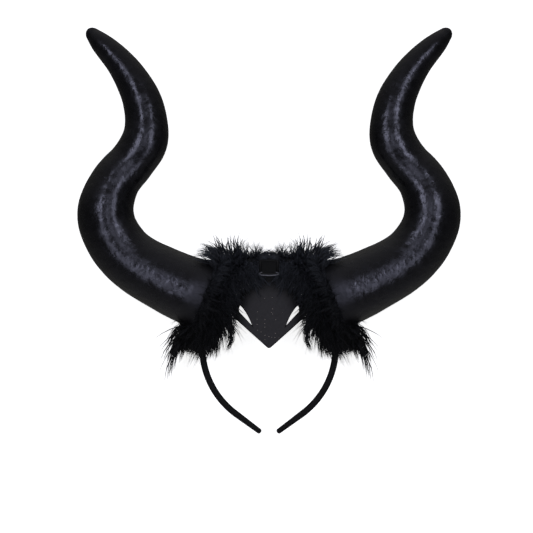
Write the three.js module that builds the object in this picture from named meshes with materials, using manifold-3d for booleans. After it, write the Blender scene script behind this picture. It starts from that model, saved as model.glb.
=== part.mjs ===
// Horn headband: a cloth-wrapped hair band that carries two S-curved foam horns, with a fur trim over the
// joint of each horn and a pointed forehead peak that hangs from a fold-over loop at the crown.
// Millimetres. It lies on its back: +X is to the right seen from the front, +Y runs from the band's ends to
// the horns' tips, and +Z points up from the floor, out of the front. The pieces are laid out from the centre
// of the band's arch, and the whole is then moved so that the middle of its footprint is the origin.
import * as THREE from "three";
import { mergeVertices } from "three/addons/utils/BufferGeometryUtils.js";
import Module from "manifold-3d";

const wasm = await Module();
wasm.setup();

const { degToRad, clamp, lerp, smoothstep } = THREE.MathUtils;
const UP = new THREE.Vector3(0, 0, 1);

// Driving dimensions

// Gap between pieces that are glued or sewn together
const GAP = 0.3;

// Share of a rounded end's length at which its last ring stands, which leaves a small flat face
const LAST_RING = 0.95;

// Hair band: half circle over the head, straight sides, hooked arcs and straight ends, given on its centre line
const BAND = {
  archRadius: 61.2,
  sideLength: 18,
  hookRadius: 76,
  hookSweep: degToRad(53.5),
  endLength: 28.5,
  thickness: 6,
  width: 9,
  cornerRadius: 2,
  taperLength: 45,
  endShare: 0.8,
  endRound: 2.6,
  height: 32.5,
  steps: 65,
  endCrowding: 0.2,
};

// Horn sections from the band outwards: centre beside and above the arch's centre, and radius.
// The back of the horn lies along the floor, so each centre is as high as its radius.
const HORN_SECTIONS = [
  { out: 55.0, up: 27.2, radius: 32.5 },
  { out: 90.9, up: 42.1, radius: 29.8 },
  { out: 129.0, up: 64.6, radius: 27.1 },
  { out: 146.9, up: 89.9, radius: 26.4 },
  { out: 150.0, up: 109.0, radius: 25.9 },
  { out: 141.1, up: 134.2, radius: 22.9 },
  { out: 126.1, up: 152.5, radius: 21.4 },
  { out: 114.7, up: 170.7, radius: 21.6 },
  { out: 113.1, up: 190.0, radius: 19.7 },
  { out: 118.9, up: 214.0, radius: 17.5 },
  { out: 135.8, up: 242.2, radius: 13.7 },
  { out: 155.3, up: 262.6, radius: 9.8 },
  { out: 166.5, up: 274.2, radius: 5.0 },
];
const HORN = { sides: 18, steps: 44, tipRound: 6 };

// Fold-over loop at the crown, whose front leg ends in a rolled lip
const LOOP = {
  width: 18.4,
  wall: 1.8,
  frontDrop: 17,
  backDrop: 12,
  cornerRadius: 3,
  lipRadius: 1.1,
  lipRise: 2.6,
};

// Forehead peak: a neck under the loop, shoulders under the fur and a V-shaped lower edge
const PEAK = {
  wall: 2.4,
  neckHalfWidth: 7.5,
  neckTop: 63,
  neckEnd: 45.4,
  shoulderOut: 34,
  shoulderUp: 17,
  cornerUp: 11,
  tipUp: -19.3,
  tipRadius: 2,
  shoulderPull: 34,
  reachForward: 17,
  sideCurve: 75,
  curvedBelow: 0.4,
  trim: 3,
  columns: 14,
  rows: 18,
};

// Almond slit in the right half of the peak
const SLIT = {
  top: { out: 26.7, up: 21.2 },
  heel: { out: 27.9, up: 14.6 },
  toe: { out: 15.5, up: 1.8 },
  bulge: { out: 19.4, up: 13.6 },
  heelBow: 0.8,
};

// Fur trim: a backing wrapped round the band, from beside the loop to below the horn, with rows of locks
const FUR = {
  start: 13.5,
  end: 104,
  backingRadius: 9.5,
  sides: 12,
  steps: 13,
  lockRadius: 6.2,
  lockSides: 5,
  rootDepth: 4,
  floor: 1.6,
};

// Rows of locks along the band from the crown: reach of the locks that point away from the head, forwards and
// towards the peak, and how far they lean along the band
const LOCK_ROWS = [
  { at: 17, outward: 17, forward: 9, inward: 6, lean: -0.15 },
  { at: 29, outward: 19, forward: 14, inward: 13, lean: -0.15 },
  { at: 41, outward: 19, forward: 18, inward: 19, lean: 0 },
  { at: 54, outward: 14, forward: 21, inward: 23, lean: 0.05 },
  { at: 67, outward: 14, forward: 22, inward: 24, lean: 0.15 },
  { at: 80, outward: 18, forward: 22, inward: 24, lean: 0.3 },
  { at: 92, outward: 28, forward: 22, inward: 22, lean: 0.5 },
  { at: 102, outward: 38, forward: 24, inward: 20, lean: 1.1 },
];

// Angles round the band at which a row has locks: 0 points away from the head, 90 forwards and -90 to the floor
const LOCK_ANGLES = [-110, -76, -42, -8, 26, 60, 88, 114, 140];

// Lengths of neighbouring locks, as shares of their row's reach
const LOCK_VARIATION = [1, 0.82, 1.1, 0.9];

// Solids and geometry

function solidOf(geometry) {
  const bare = geometry.index ? geometry.toNonIndexed() : geometry.clone();
  for (const name of Object.keys(bare.attributes)) {
    if (name !== "position") bare.deleteAttribute(name);
  }
  const merged = mergeVertices(bare, 1e-4);
  return new wasm.Manifold(
    new wasm.Mesh({
      numProp: 3,
      vertProperties: merged.attributes.position.array,
      triVerts: new Uint32Array(merged.index.array),
    }),
  );
}

function geometryOf(solid) {
  const { vertProperties, triVerts } = solid.getMesh();
  const geometry = new THREE.BufferGeometry();
  geometry.setAttribute("position", new THREE.BufferAttribute(vertProperties, 3));
  geometry.setIndex(new THREE.BufferAttribute(triVerts, 1));
  geometry.computeVertexNormals();
  return geometry;
}

function largestBody(solid) {
  const bodies = solid.decompose();
  return bodies.reduce((best, body) => (body.volume() > best.volume() ? body : best));
}

// Moves every vertex of a geometry to the point that place(x, y, z) returns
function reshape(geometry, place) {
  const position = geometry.attributes.position;
  for (let i = 0; i < position.count; i++) {
    const point = place(position.getX(i), position.getY(i), position.getZ(i));
    position.setXYZ(i, point.x, point.y, point.z);
  }
  return geometry;
}

// A closed tube of unit rings bent along a line: frameAt(share) gives each ring's centre, side and radius
function bentTube(sides, steps, frameAt) {
  const tube = new THREE.CylinderGeometry(1, 1, 1, sides, steps);
  return reshape(tube, (x, y, z) => {
    const { centre, side, radius } = frameAt(y + 0.5);
    return centre.clone().addScaledVector(side, x * radius).addScaledVector(UP, z * radius);
  });
}

// The horizontal direction square to a line that runs along the tangent
function sideOf(tangent) {
  return new THREE.Vector3(tangent.y, -tangent.x, 0).normalize();
}

function roundedRectangle(width, height, radius) {
  const [x, y] = [width / 2 - radius, height / 2 - radius];
  const shape = new THREE.Shape();
  shape.absarc(x, y, radius, 0, Math.PI / 2);
  shape.absarc(-x, y, radius, Math.PI / 2, Math.PI);
  shape.absarc(-x, -y, radius, Math.PI, 1.5 * Math.PI);
  shape.absarc(x, -y, radius, 1.5 * Math.PI, 2 * Math.PI);
  return shape;
}

// Hair band

// Right half of the band's centre line, from the crown to the end
function halfBandPath() {
  const { archRadius, sideLength, hookRadius, hookSweep, endLength } = BAND;
  const path = new THREE.Path();
  path.absarc(0, 0, archRadius, Math.PI / 2, 0, true);
  path.lineTo(archRadius, -sideLength);
  path.absarc(archRadius - hookRadius, -sideLength, hookRadius, 0, -hookSweep, true);
  const { x, y } = path.currentPoint;
  path.lineTo(x - endLength * Math.sin(hookSweep), y - endLength * Math.cos(hookSweep));
  return path;
}

const bandPath = halfBandPath();
const bandHalfLength = bandPath.getLength();

// Centre, outward normal and direction of the band, at a distance along it from the crown, positive rightwards
function bandAt(distance) {
  const share = clamp(Math.abs(distance) / bandHalfLength, 0, 1);
  const hand = distance < 0 ? -1 : 1;
  const point = bandPath.getPoint(share);
  const tangent = bandPath.getTangent(share);
  const along = new THREE.Vector3(tangent.x, hand * tangent.y, 0).normalize();
  return {
    centre: new THREE.Vector3(hand * point.x, point.y, BAND.height),
    along,
    outward: sideOf(along).negate(),
  };
}

// The band's section shrinks towards each end, which is rounded off
function bandShare(distance) {
  const fromEnd = bandHalfLength - Math.abs(distance);
  const taper = lerp(BAND.endShare, 1, clamp(fromEnd / BAND.taperLength, 0, 1));
  const short = clamp(1 - fromEnd / BAND.endRound, 0, LAST_RING);
  return taper * Math.sqrt(1 - short * short);
}

function bandGeometry(grow = 0) {
  const section = roundedRectangle(BAND.thickness + 2 * grow, BAND.width + 2 * grow, BAND.cornerRadius);
  const bar = new THREE.ExtrudeGeometry(section, {
    depth: 1,
    steps: BAND.steps,
    bevelEnabled: false,
    curveSegments: 1,
  });
  return reshape(bar, (x, y, z) => {
    const share = 2 * z - 1;
    const distance = bandHalfLength * share * (1 + BAND.endCrowding * (1 - share ** 4));
    const { centre, outward } = bandAt(distance);
    const scale = bandShare(distance);
    return centre.addScaledVector(outward, x * scale).addScaledVector(UP, y * scale);
  });
}

// Horn

const hornSpine = new THREE.CatmullRomCurve3(
  HORN_SECTIONS.map(({ out, up, radius }) => new THREE.Vector3(out, up, radius)),
  false,
  "centripetal",
);

function hornGeometry(grow = 0) {
  const length = hornSpine.getLength();
  return bentTube(HORN.sides, HORN.steps, (share) => {
    const centre = hornSpine.getPointAt(share);
    const fromTip = length * (1 - share);
    const short = clamp(1 - fromTip / HORN.tipRound, 0, LAST_RING);
    const radius = centre.z * Math.sqrt(1 - short * short) + grow;
    return { centre, side: sideOf(hornSpine.getTangentAt(share)), radius };
  });
}

// The horn's foot has a groove in which the band lies
function hornSolid() {
  return solidOf(hornGeometry()).subtract(solidOf(bandGeometry(GAP)));
}

// Crown loop

const bandTop = BAND.archRadius + BAND.thickness / 2;
const bandFront = BAND.height + BAND.width / 2;
const bandBack = BAND.height - BAND.width / 2;
const neckFront = bandFront + GAP + PEAK.wall;
const loopFloor = { top: bandTop + GAP, front: neckFront + GAP, back: bandBack - GAP };

// Section of the loop across the band: an upside-down U whose front leg is the longer one
function loopSection() {
  const { wall, frontDrop, backDrop, cornerRadius } = LOOP;
  const { top, front, back } = loopFloor;
  const outer = cornerRadius;
  const inner = cornerRadius - wall;
  const shape = new THREE.Shape();
  shape.moveTo(front + wall, top - frontDrop);
  shape.lineTo(front + wall, top + wall - outer);
  shape.absarc(front + wall - outer, top + wall - outer, outer, 0, Math.PI / 2);
  shape.absarc(back - wall + outer, top + wall - outer, outer, Math.PI / 2, Math.PI);
  shape.lineTo(back - wall, top - backDrop);
  shape.lineTo(back, top - backDrop);
  shape.absarc(back + inner, top - inner, inner, Math.PI, Math.PI / 2, true);
  shape.absarc(front - inner, top - inner, inner, Math.PI / 2, 0, true);
  shape.lineTo(front, top - frontDrop);
  return shape;
}

// Rolled lip along the front leg's lower edge, turned up at both corners
function lipGeometry() {
  const { width, wall, frontDrop, lipRadius, lipRise } = LOOP;
  const edge = { y: loopFloor.top - frontDrop + lipRadius, z: loopFloor.front + wall };
  const half = width / 2 - lipRadius;
  const line = new THREE.CatmullRomCurve3(
    [-half, -half + lipRise, 0, half - lipRise, half].map((x) => {
      const rise = Math.abs(x) === half ? lipRise : 0;
      return new THREE.Vector3(x, edge.y + rise, edge.z);
    }),
  );
  const section = new THREE.Shape().absarc(0, 0, lipRadius, 0, 2 * Math.PI);
  return new THREE.ExtrudeGeometry(section, { steps: 12, curveSegments: 4, extrudePath: line });
}

function loopSolid() {
  const strap = new THREE.ExtrudeGeometry(loopSection(), {
    depth: LOOP.width,
    bevelEnabled: false,
    curveSegments: 4,
  });
  strap.translate(0, 0, -LOOP.width / 2);
  const placed = reshape(strap, (x, y, z) => new THREE.Vector3(-z, y, x));
  return solidOf(placed).add(solidOf(lipGeometry()));
}

// Forehead peak

// Front of the peak: flat in the neck, then forwards over the brow, and curved round the head from side to side
function peakFront(x, y) {
  const down = clamp((PEAK.neckEnd - y) / (PEAK.neckEnd - PEAK.tipUp), 0, 1);
  const forward = PEAK.reachForward * (1 - (1 - down) ** 2);
  const fall = (x * x) / (2 * PEAK.sideCurve);
  return neckFront + forward - fall * smoothstep(down, 0, PEAK.curvedBelow);
}

function peakSheet(grow) {
  const width = 2 * (PEAK.shoulderOut + PEAK.trim);
  const height = PEAK.neckTop - PEAK.tipUp + 2 * PEAK.trim;
  const middle = (PEAK.neckTop + PEAK.tipUp) / 2;
  const sheet = new THREE.BoxGeometry(width, height, PEAK.wall + 2 * grow, PEAK.columns, PEAK.rows, 1);
  sheet.translate(0, middle, -PEAK.wall / 2);
  return reshape(sheet, (x, y, z) => new THREE.Vector3(x, y, peakFront(x, y) + z));
}

function peakOutline(grow) {
  const { neckHalfWidth, neckTop, neckEnd, cornerUp, tipUp, tipRadius } = PEAK;
  const { shoulderPull, shoulderOut, shoulderUp } = PEAK;
  const slope = (cornerUp - tipUp) / shoulderOut;
  const [neck, shoulder] = [neckHalfWidth + grow, shoulderOut + grow];
  const shape = new THREE.Shape();
  shape.moveTo(neck, neckTop + grow);
  shape.lineTo(-neck, neckTop + grow);
  shape.lineTo(-neck, neckEnd);
  shape.quadraticCurveTo(-shoulder, shoulderPull + grow, -shoulder, shoulderUp);
  shape.lineTo(-shoulder, cornerUp - grow);
  shape.lineTo(-tipRadius, tipUp - grow + slope * tipRadius);
  shape.quadraticCurveTo(0, tipUp - grow, tipRadius, tipUp - grow + slope * tipRadius);
  shape.lineTo(shoulder, cornerUp - grow);
  shape.lineTo(shoulder, shoulderUp);
  shape.quadraticCurveTo(shoulder, shoulderPull + grow, neck, neckEnd);
  return shape;
}

function slitOutline(hand) {
  const { top, heel, toe, bulge, heelBow } = SLIT;
  const shape = new THREE.Shape();
  shape.moveTo(hand * top.out, top.up);
  shape.quadraticCurveTo(hand * (heel.out + heelBow), (top.up + heel.up) / 2, hand * heel.out, heel.up);
  shape.lineTo(hand * toe.out, toe.up);
  shape.quadraticCurveTo(hand * bulge.out, bulge.up, hand * top.out, top.up);
  return shape;
}

// A straight prism that reaches through the peak from back to front
function throughPeak(outline) {
  const deep = neckFront + 2 * PEAK.reachForward;
  return solidOf(new THREE.ExtrudeGeometry(outline, { depth: deep, bevelEnabled: false, curveSegments: 6 }));
}

function peakSolid(grow = 0) {
  return solidOf(peakSheet(grow))
    .intersect(throughPeak(peakOutline(grow)))
    .subtract(throughPeak(slitOutline(1)))
    .subtract(throughPeak(slitOutline(-1)));
}

// Fur trim

function furBacking() {
  return bentTube(FUR.sides, FUR.steps, (share) => {
    const { centre, along } = bandAt(lerp(FUR.start, FUR.end, share));
    return { centre, side: sideOf(along), radius: FUR.backingRadius };
  });
}

// One tapered lock that grows from the backing at an angle round the band
function lockGeometry(row, angle, variation) {
  const { centre, along, outward } = bandAt(row.at);
  const turn = degToRad(angle);
  const normal = outward.multiplyScalar(Math.cos(turn)).addScaledVector(UP, Math.sin(turn));
  const heading = normal.clone().addScaledVector(along, row.lean).normalize();
  const root = centre.addScaledVector(normal, FUR.backingRadius - FUR.rootDepth);
  const beside = Math.cos(turn) > 0 ? row.outward : row.inward;
  const reach = lerp(row.forward, beside, Math.cos(turn) ** 2) * variation + FUR.rootDepth;
  const floorReach = heading.z < 0 ? (root.z - FUR.floor) / -heading.z : Infinity;
  const length = Math.min(reach, floorReach);
  const lock = new THREE.ConeGeometry(FUR.lockRadius, length, FUR.lockSides);
  lock.translate(0, length / 2, 0);
  lock.applyQuaternion(new THREE.Quaternion().setFromUnitVectors(new THREE.Vector3(0, 1, 0), heading));
  return lock.translate(root.x, root.y, root.z);
}

// Room that the fur leaves round the crown loop
function loopRoom() {
  const { width, wall, frontDrop } = LOOP;
  const room = 2 * GAP;
  const depth = loopFloor.front - loopFloor.back + 2 * (wall + LOOP.lipRadius + GAP);
  const height = frontDrop + wall + 2 * room;
  const block = new THREE.BoxGeometry(width + room, height, depth);
  const centreY = loopFloor.top + wall - height / 2 + room;
  return block.translate(0, centreY, (loopFloor.front + loopFloor.back) / 2);
}

function furSolid() {
  const locks = LOCK_ROWS.flatMap((row, i) =>
    LOCK_ANGLES.map((angle, j) => {
      const share = LOCK_VARIATION[(i + 3 * j) % LOCK_VARIATION.length];
      return lockGeometry(row, angle, share);
    }),
  );
  const whole = locks.reduce((fur, lock) => fur.add(solidOf(lock)), solidOf(furBacking()));
  const neighbours = [
    solidOf(bandGeometry(GAP)),
    solidOf(hornGeometry(GAP)),
    solidOf(loopRoom()),
    peakSolid(GAP),
  ];
  return largestBody(neighbours.reduce((fur, other) => fur.subtract(other), whole));
}

// Finishes

const finishes = {
  foam: new THREE.MeshStandardMaterial({ color: 0x17171a, roughness: 0.42, metalness: 0 }),
  cloth: new THREE.MeshStandardMaterial({ color: 0x1a1a1b, roughness: 0.75, metalness: 0 }),
  sheet: new THREE.MeshStandardMaterial({ color: 0x262527, roughness: 0.8, metalness: 0 }),
  strap: new THREE.MeshStandardMaterial({ color: 0x1c1b1d, roughness: 0.35, metalness: 0 }),
  fur: new THREE.MeshStandardMaterial({ color: 0x0c0c0f, roughness: 0.9, metalness: 0 }),
};

function piece(name, geometry, finish) {
  const mesh = new THREE.Mesh(geometry, finish);
  mesh.name = name;
  return mesh;
}

// The horn and its fur, on one side of the band
function hornSide(sideName, horn, fur) {
  const side = new THREE.Group();
  side.add(piece(`horn_${sideName}`, horn, finishes.foam));
  side.add(piece(`fur_${sideName}`, fur, finishes.fur));
  return side;
}

// Assembly

function headband() {
  const whole = new THREE.Group();
  const horn = geometryOf(hornSolid());
  const fur = geometryOf(furSolid());
  const left = hornSide("left", horn, fur);
  left.scale.x = -1;
  whole.add(hornSide("right", horn, fur), left);
  whole.add(piece("hair_band", bandGeometry(), finishes.cloth));
  whole.add(piece("forehead_peak", geometryOf(peakSolid()), finishes.sheet));
  whole.add(piece("crown_loop", geometryOf(loopSolid()), finishes.strap));
  const box = new THREE.Box3().setFromObject(whole);
  whole.position.y = -(box.min.y + box.max.y) / 2;
  const part = new THREE.Group();
  return part.add(whole);
}

export default headband();
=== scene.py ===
"""Looks of a costume horn headband that lies on its back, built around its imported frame.

The frame gives the places of the pieces. Sizes here are in millimetres from the centre of the band's arch,
and every mesh is in metres in the frame: +X to the right, +Y from the band's ends to the horns' tips, +Z up
out of the front.
"""

from __future__ import annotations

import logging
import math
from collections.abc import Callable, Iterator, Mapping
from contextlib import contextmanager
from dataclasses import dataclass
from enum import Enum

import bmesh
import bpy
import numpy as np
from mathutils import Matrix, Vector
from mathutils.kdtree import KDTree

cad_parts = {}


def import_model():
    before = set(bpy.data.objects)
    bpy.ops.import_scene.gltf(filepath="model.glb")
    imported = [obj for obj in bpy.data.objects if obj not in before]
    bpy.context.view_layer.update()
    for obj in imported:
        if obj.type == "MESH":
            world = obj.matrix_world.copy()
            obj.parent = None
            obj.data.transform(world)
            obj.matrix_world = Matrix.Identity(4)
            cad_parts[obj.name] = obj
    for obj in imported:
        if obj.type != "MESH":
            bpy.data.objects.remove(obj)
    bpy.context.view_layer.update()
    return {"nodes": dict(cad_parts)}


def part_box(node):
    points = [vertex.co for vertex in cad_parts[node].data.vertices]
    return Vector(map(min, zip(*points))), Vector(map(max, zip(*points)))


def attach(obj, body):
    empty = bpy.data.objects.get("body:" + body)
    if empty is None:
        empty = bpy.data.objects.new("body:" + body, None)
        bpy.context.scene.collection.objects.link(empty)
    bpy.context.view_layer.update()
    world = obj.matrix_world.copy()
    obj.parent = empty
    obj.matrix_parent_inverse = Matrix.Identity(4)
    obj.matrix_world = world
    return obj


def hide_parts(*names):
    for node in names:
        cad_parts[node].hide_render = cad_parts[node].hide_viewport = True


log = logging.getLogger("horn_headband")

MM = 0.001
SEAM = 0.002 * MM
TOUCH = 0.01 * MM
UP = np.array([0.0, 0.0, 1.0])

Piece = bpy.types.Object
Material = bpy.types.Material
Tree = bpy.types.NodeTree
Socket = bpy.types.NodeSocket
Span = tuple[float, float]
Place = tuple[float, float, float]
Line = list[tuple[float, float]]
Ramp = tuple[tuple[float, float], ...]
Trio = tuple[np.ndarray, np.ndarray, np.ndarray]
Bed = tuple[np.ndarray, ...]


class Side(Enum):
    """Half of the headband, seen from the front."""

    LEFT = -1
    RIGHT = 1

    @property
    def word(self) -> str:
        """Name of the side in lower case."""
        return self.name.lower()


class Growth(Enum):
    """Where a coat of hairs grows."""

    ALL_ROUND = "all round the trim"
    OUTLINE = "where the trim's outline shows"
    INSIDE = "on the side of the head"


class Element(Enum):
    """Kind of mesh element, with the name of its list in a mesh."""

    EDGE = "edges"
    FACE = "faces"


class Grain(Enum):
    """Shape of a surface's fine grain: the texture that draws it, and its settings."""

    FLECKED = ("TexNoise", {})
    PEBBLED = ("TexVoronoi", {"feature": "SMOOTH_F1"})
    KNITTED = ("TexVoronoi", {})


# Helpers for modelling


def clear_selection() -> None:
    """Return to object mode with nothing selected."""
    if bpy.context.mode != "OBJECT":
        bpy.ops.object.mode_set(mode="OBJECT")
    bpy.ops.object.select_all(action="DESELECT")


def pick(piece: Piece) -> None:
    """Make a piece the only selected object and the active one.

    Args:
        piece: Object to pick.
    """
    clear_selection()
    piece.select_set(True)
    bpy.context.view_layer.objects.active = piece


@contextmanager
def editing(piece: Piece) -> Iterator[None]:
    """Keep a piece in edit mode while the block runs.

    Args:
        piece: Mesh object to edit.
    """
    pick(piece)
    bpy.ops.object.mode_set(mode="EDIT")
    try:
        yield
    finally:
        bpy.ops.object.mode_set(mode="OBJECT")


def select(
    piece: Piece, element: Element, test: Callable[[bmesh.types.BMEdge | bmesh.types.BMFace], bool]
) -> None:
    """Select, in edit mode, only the edges or the faces that pass a test.

    Args:
        piece: Mesh object in edit mode.
        element: Kind of element to select.
        test: Says whether an element is wanted.
    """
    bpy.ops.mesh.select_mode(type=element.name)
    bpy.ops.mesh.select_all(action="DESELECT")
    mesh = bmesh.from_edit_mesh(piece.data)
    for one in getattr(mesh, element.value):
        one.select_set(test(one))
    bmesh.update_edit_mesh(piece.data)


def extrude(move: Vector) -> None:
    """Extrude what is selected in edit mode by a move in metres."""
    bpy.ops.mesh.extrude_region_move(TRANSFORM_OT_translate={"value": tuple(move)})


def draw_out(centre: Vector, move: Vector, scale: float) -> Vector:
    """Extrude what is selected in edit mode and scale it about its moved centre.

    Args:
        centre: Centre of the selection, in metres.
        move: How far to extrude, in metres.
        scale: Size after the move, as a share of the size before it.

    Returns:
        The centre after the move.
    """
    extrude(move)
    moved = centre + move
    bpy.ops.transform.resize(value=(scale, scale, scale), center_override=tuple(moved))
    return moved


def spin(centre: Vector, angle: float, steps: int, axis: Place = (0, 0, 1)) -> None:
    """Spin what is selected in edit mode clockwise about an axis.

    Args:
        centre: Point on the axis, in metres.
        angle: Sweep in radians.
        steps: Number of stretches.
        axis: Direction of the axis.
    """
    bpy.ops.mesh.spin(steps=steps, angle=angle, center=tuple(centre), axis=axis)


def apply_modifier(piece: Piece, kind: str, **settings: object) -> None:
    """Add a modifier to a piece, set it up and apply it.

    Args:
        piece: Mesh object that the modifier shapes.
        kind: Blender's name for the modifier.
        settings: Properties of the modifier.
    """
    modifier = piece.modifiers.new(kind.title(), kind)
    for name, value in settings.items():
        setattr(modifier, name, value)
    pick(piece)
    bpy.ops.object.modifier_apply(modifier=modifier.name)


def cut(piece: Piece, tool: Piece) -> None:
    """Cut a closed tool, which stays, away from a piece."""
    apply_modifier(piece, "BOOLEAN", object=tool, operation="DIFFERENCE", solver="EXACT")


def close_seams(piece: Piece) -> None:
    """Merge doubled vertices of a piece and turn all its faces outwards.

    Args:
        piece: Mesh object to close.
    """
    with editing(piece):
        bpy.ops.mesh.select_all(action="SELECT")
        bpy.ops.mesh.remove_doubles(threshold=SEAM)
        bpy.ops.mesh.normals_make_consistent(inside=False)


def settle(piece: Piece, name: str) -> None:
    """Apply a new object's place to its mesh and give it its name.

    Args:
        piece: Object fresh from a primitive operator.
        name: Name of the piece.
    """
    piece.name = name
    piece.data.name = name
    pick(piece)
    bpy.ops.object.transform_apply(location=True, rotation=True, scale=True)


def copied(piece: Piece, name: str) -> Piece:
    """Copy a piece with a mesh of its own.

    Args:
        piece: Mesh object to copy.
        name: Name of the copy.

    Returns:
        The copy, in the same place.
    """
    copy = piece.copy()
    copy.data = piece.data.copy()
    bpy.context.collection.objects.link(copy)
    copy.name = name
    copy.data.name = name
    return copy


def mirrored(piece: Piece, name: str) -> Piece:
    """Copy a piece from the right to the left, with its faces outwards.

    Args:
        piece: Finished mesh object on the right.
        name: Name of the copy.

    Returns:
        The copy on the left.
    """
    copy = copied(piece, name)
    copy.data.transform(Matrix.Diagonal((-1.0, 1.0, 1.0, 1.0)))
    copy.data.flip_normals()
    return copy


def new_curve(**settings: object) -> Piece:
    """Add a curve object with settings of its own.

    Args:
        settings: Properties of the curve, in the order in which they are set.

    Returns:
        The curve object, which has one spline yet to be shaped.
    """
    clear_selection()
    bpy.ops.curve.primitive_bezier_curve_add()
    piece = bpy.context.object
    for name, value in settings.items():
        setattr(piece.data, name, value)
    return piece


def flat_sheet(outlines: list[Line], thickness: float) -> Piece:
    """Make a flat sheet from its outline and the outlines of its holes.

    Args:
        outlines: Points of the outline in metres, in order, then those of each hole.
        thickness: Thickness of the sheet in metres.

    Returns:
        The sheet as a closed mesh object, with its front at height 0.
    """
    sheet = new_curve(dimensions="2D", fill_mode="BOTH", extrude=thickness / 2)
    sheet.data.splines.clear()
    for outline in outlines:
        spline = sheet.data.splines.new("POLY")
        spline.points.add(len(outline) - 1)
        for point, (x, y) in zip(spline.points, outline):
            point.co = (x, y, 0.0, 1.0)
        spline.use_cyclic_u = True
    sheet.location.z = -thickness / 2
    bpy.ops.object.convert(target="MESH")
    return sheet


def smooth_curve(points: Line, steps: int) -> Line:
    """Round off a line of three points into a quadratic curve.

    Args:
        points: Start, control point and end.
        steps: Number of stretches.

    Returns:
        Points along the curve, without its start.
    """
    (x0, y0), (x1, y1), (x2, y2) = points
    curve = []
    for i in range(1, steps + 1):
        t = i / steps
        a, b, c = (1 - t) ** 2, 2 * t * (1 - t), t * t
        curve.append((a * x0 + b * x1 + c * x2, a * y0 + b * y1 + c * y2))
    return curve


def ramp(values: np.ndarray, points: Ramp) -> np.ndarray:
    """Read a table of value and result, with straight lines between its rows.

    Args:
        values: Where to read it.
        points: Rows of the table, by rising value.

    Returns:
        The result at each value.
    """
    return np.interp(values, *zip(*points))


def smooth_by_angle(piece: Piece, degrees: float) -> None:
    """Shade a piece smooth, except across edges sharper than an angle."""
    pick(piece)
    bpy.ops.object.shade_smooth_by_angle(angle=math.radians(degrees))


def dress(piece: Piece, *materials: Material) -> None:
    """Give a bare piece its materials, in the order of its faces' material numbers."""
    for material in materials:
        piece.data.materials.append(material)


def join_frame(piece: Piece, node: str | None = None) -> None:
    """Let a piece ride on the frame's one body.

    Args:
        piece: Finished piece of the scene.
        node: Node of the frame that the piece stands for, if any.
    """
    if node:
        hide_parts(node)
    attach(piece, "root")


# Helpers for finishes


def linear(colour: str) -> tuple[float, float, float, float]:
    """Turn an sRGB hex colour to the linear colour that a shader takes.

    Args:
        colour: Hex value such as "#1a1a1c".

    Returns:
        Linear red, green and blue, and an alpha of 1.
    """
    shares = [int(colour[i : i + 2], 16) / 255 for i in (1, 3, 5)]
    red, green, blue = (s / 12.92 if s <= 0.04045 else ((s + 0.055) / 1.055) ** 2.4 for s in shares)
    return red, green, blue, 1.0


def add_node(
    tree: Tree,
    kind: str,
    inputs: Mapping[str | int, object] | None = None,
    out: str | int = 0,
    **settings: object,
) -> Socket | None:
    """Add a node with its settings and links.

    Args:
        tree: Node tree of a material or of the room.
        kind: Blender's name for the node, without ShaderNode in front.
        inputs: Value, or socket to link from, for each input by name or number. None leaves an input alone.
        out: Name or number of the output that is wanted.
        settings: Properties of the node.

    Returns:
        The wanted output, or None where the node has no output.
    """
    node = tree.nodes.new(f"ShaderNode{kind}")
    for name, value in settings.items():
        setattr(node, name, value)
    for name, value in (inputs or {}).items():
        if isinstance(value, Socket):
            tree.links.new(value, node.inputs[name])
        elif value is not None:
            node.inputs[name].default_value = value
    return node.outputs[out] if len(node.outputs) else None


def blank_material(name: str) -> tuple[Material, Tree]:
    """Make a material with no nodes yet.

    Args:
        name: Name of the real material.

    Returns:
        The material and its node tree.
    """
    material = bpy.data.materials.new(name)
    material.use_nodes = True
    material.node_tree.nodes.clear()
    return material, material.node_tree


def surfaced(material: Material, sockets: Mapping[str, object]) -> Material:
    """Complete a material with a Principled shader.

    Args:
        material: Material with its pattern nodes.
        sockets: Value, or socket to link from, for each input of the shader.

    Returns:
        The same material.
    """
    surface = add_node(material.node_tree, "BsdfPrincipled", sockets)
    add_node(material.node_tree, "OutputMaterial", {"Surface": surface})
    return material


# Finishes


@dataclass(frozen=True)
class Relief:
    """One layer of unevenness: its size and depth in millimetres, and its strength."""

    size: float
    depth: float
    strength: float


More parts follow.
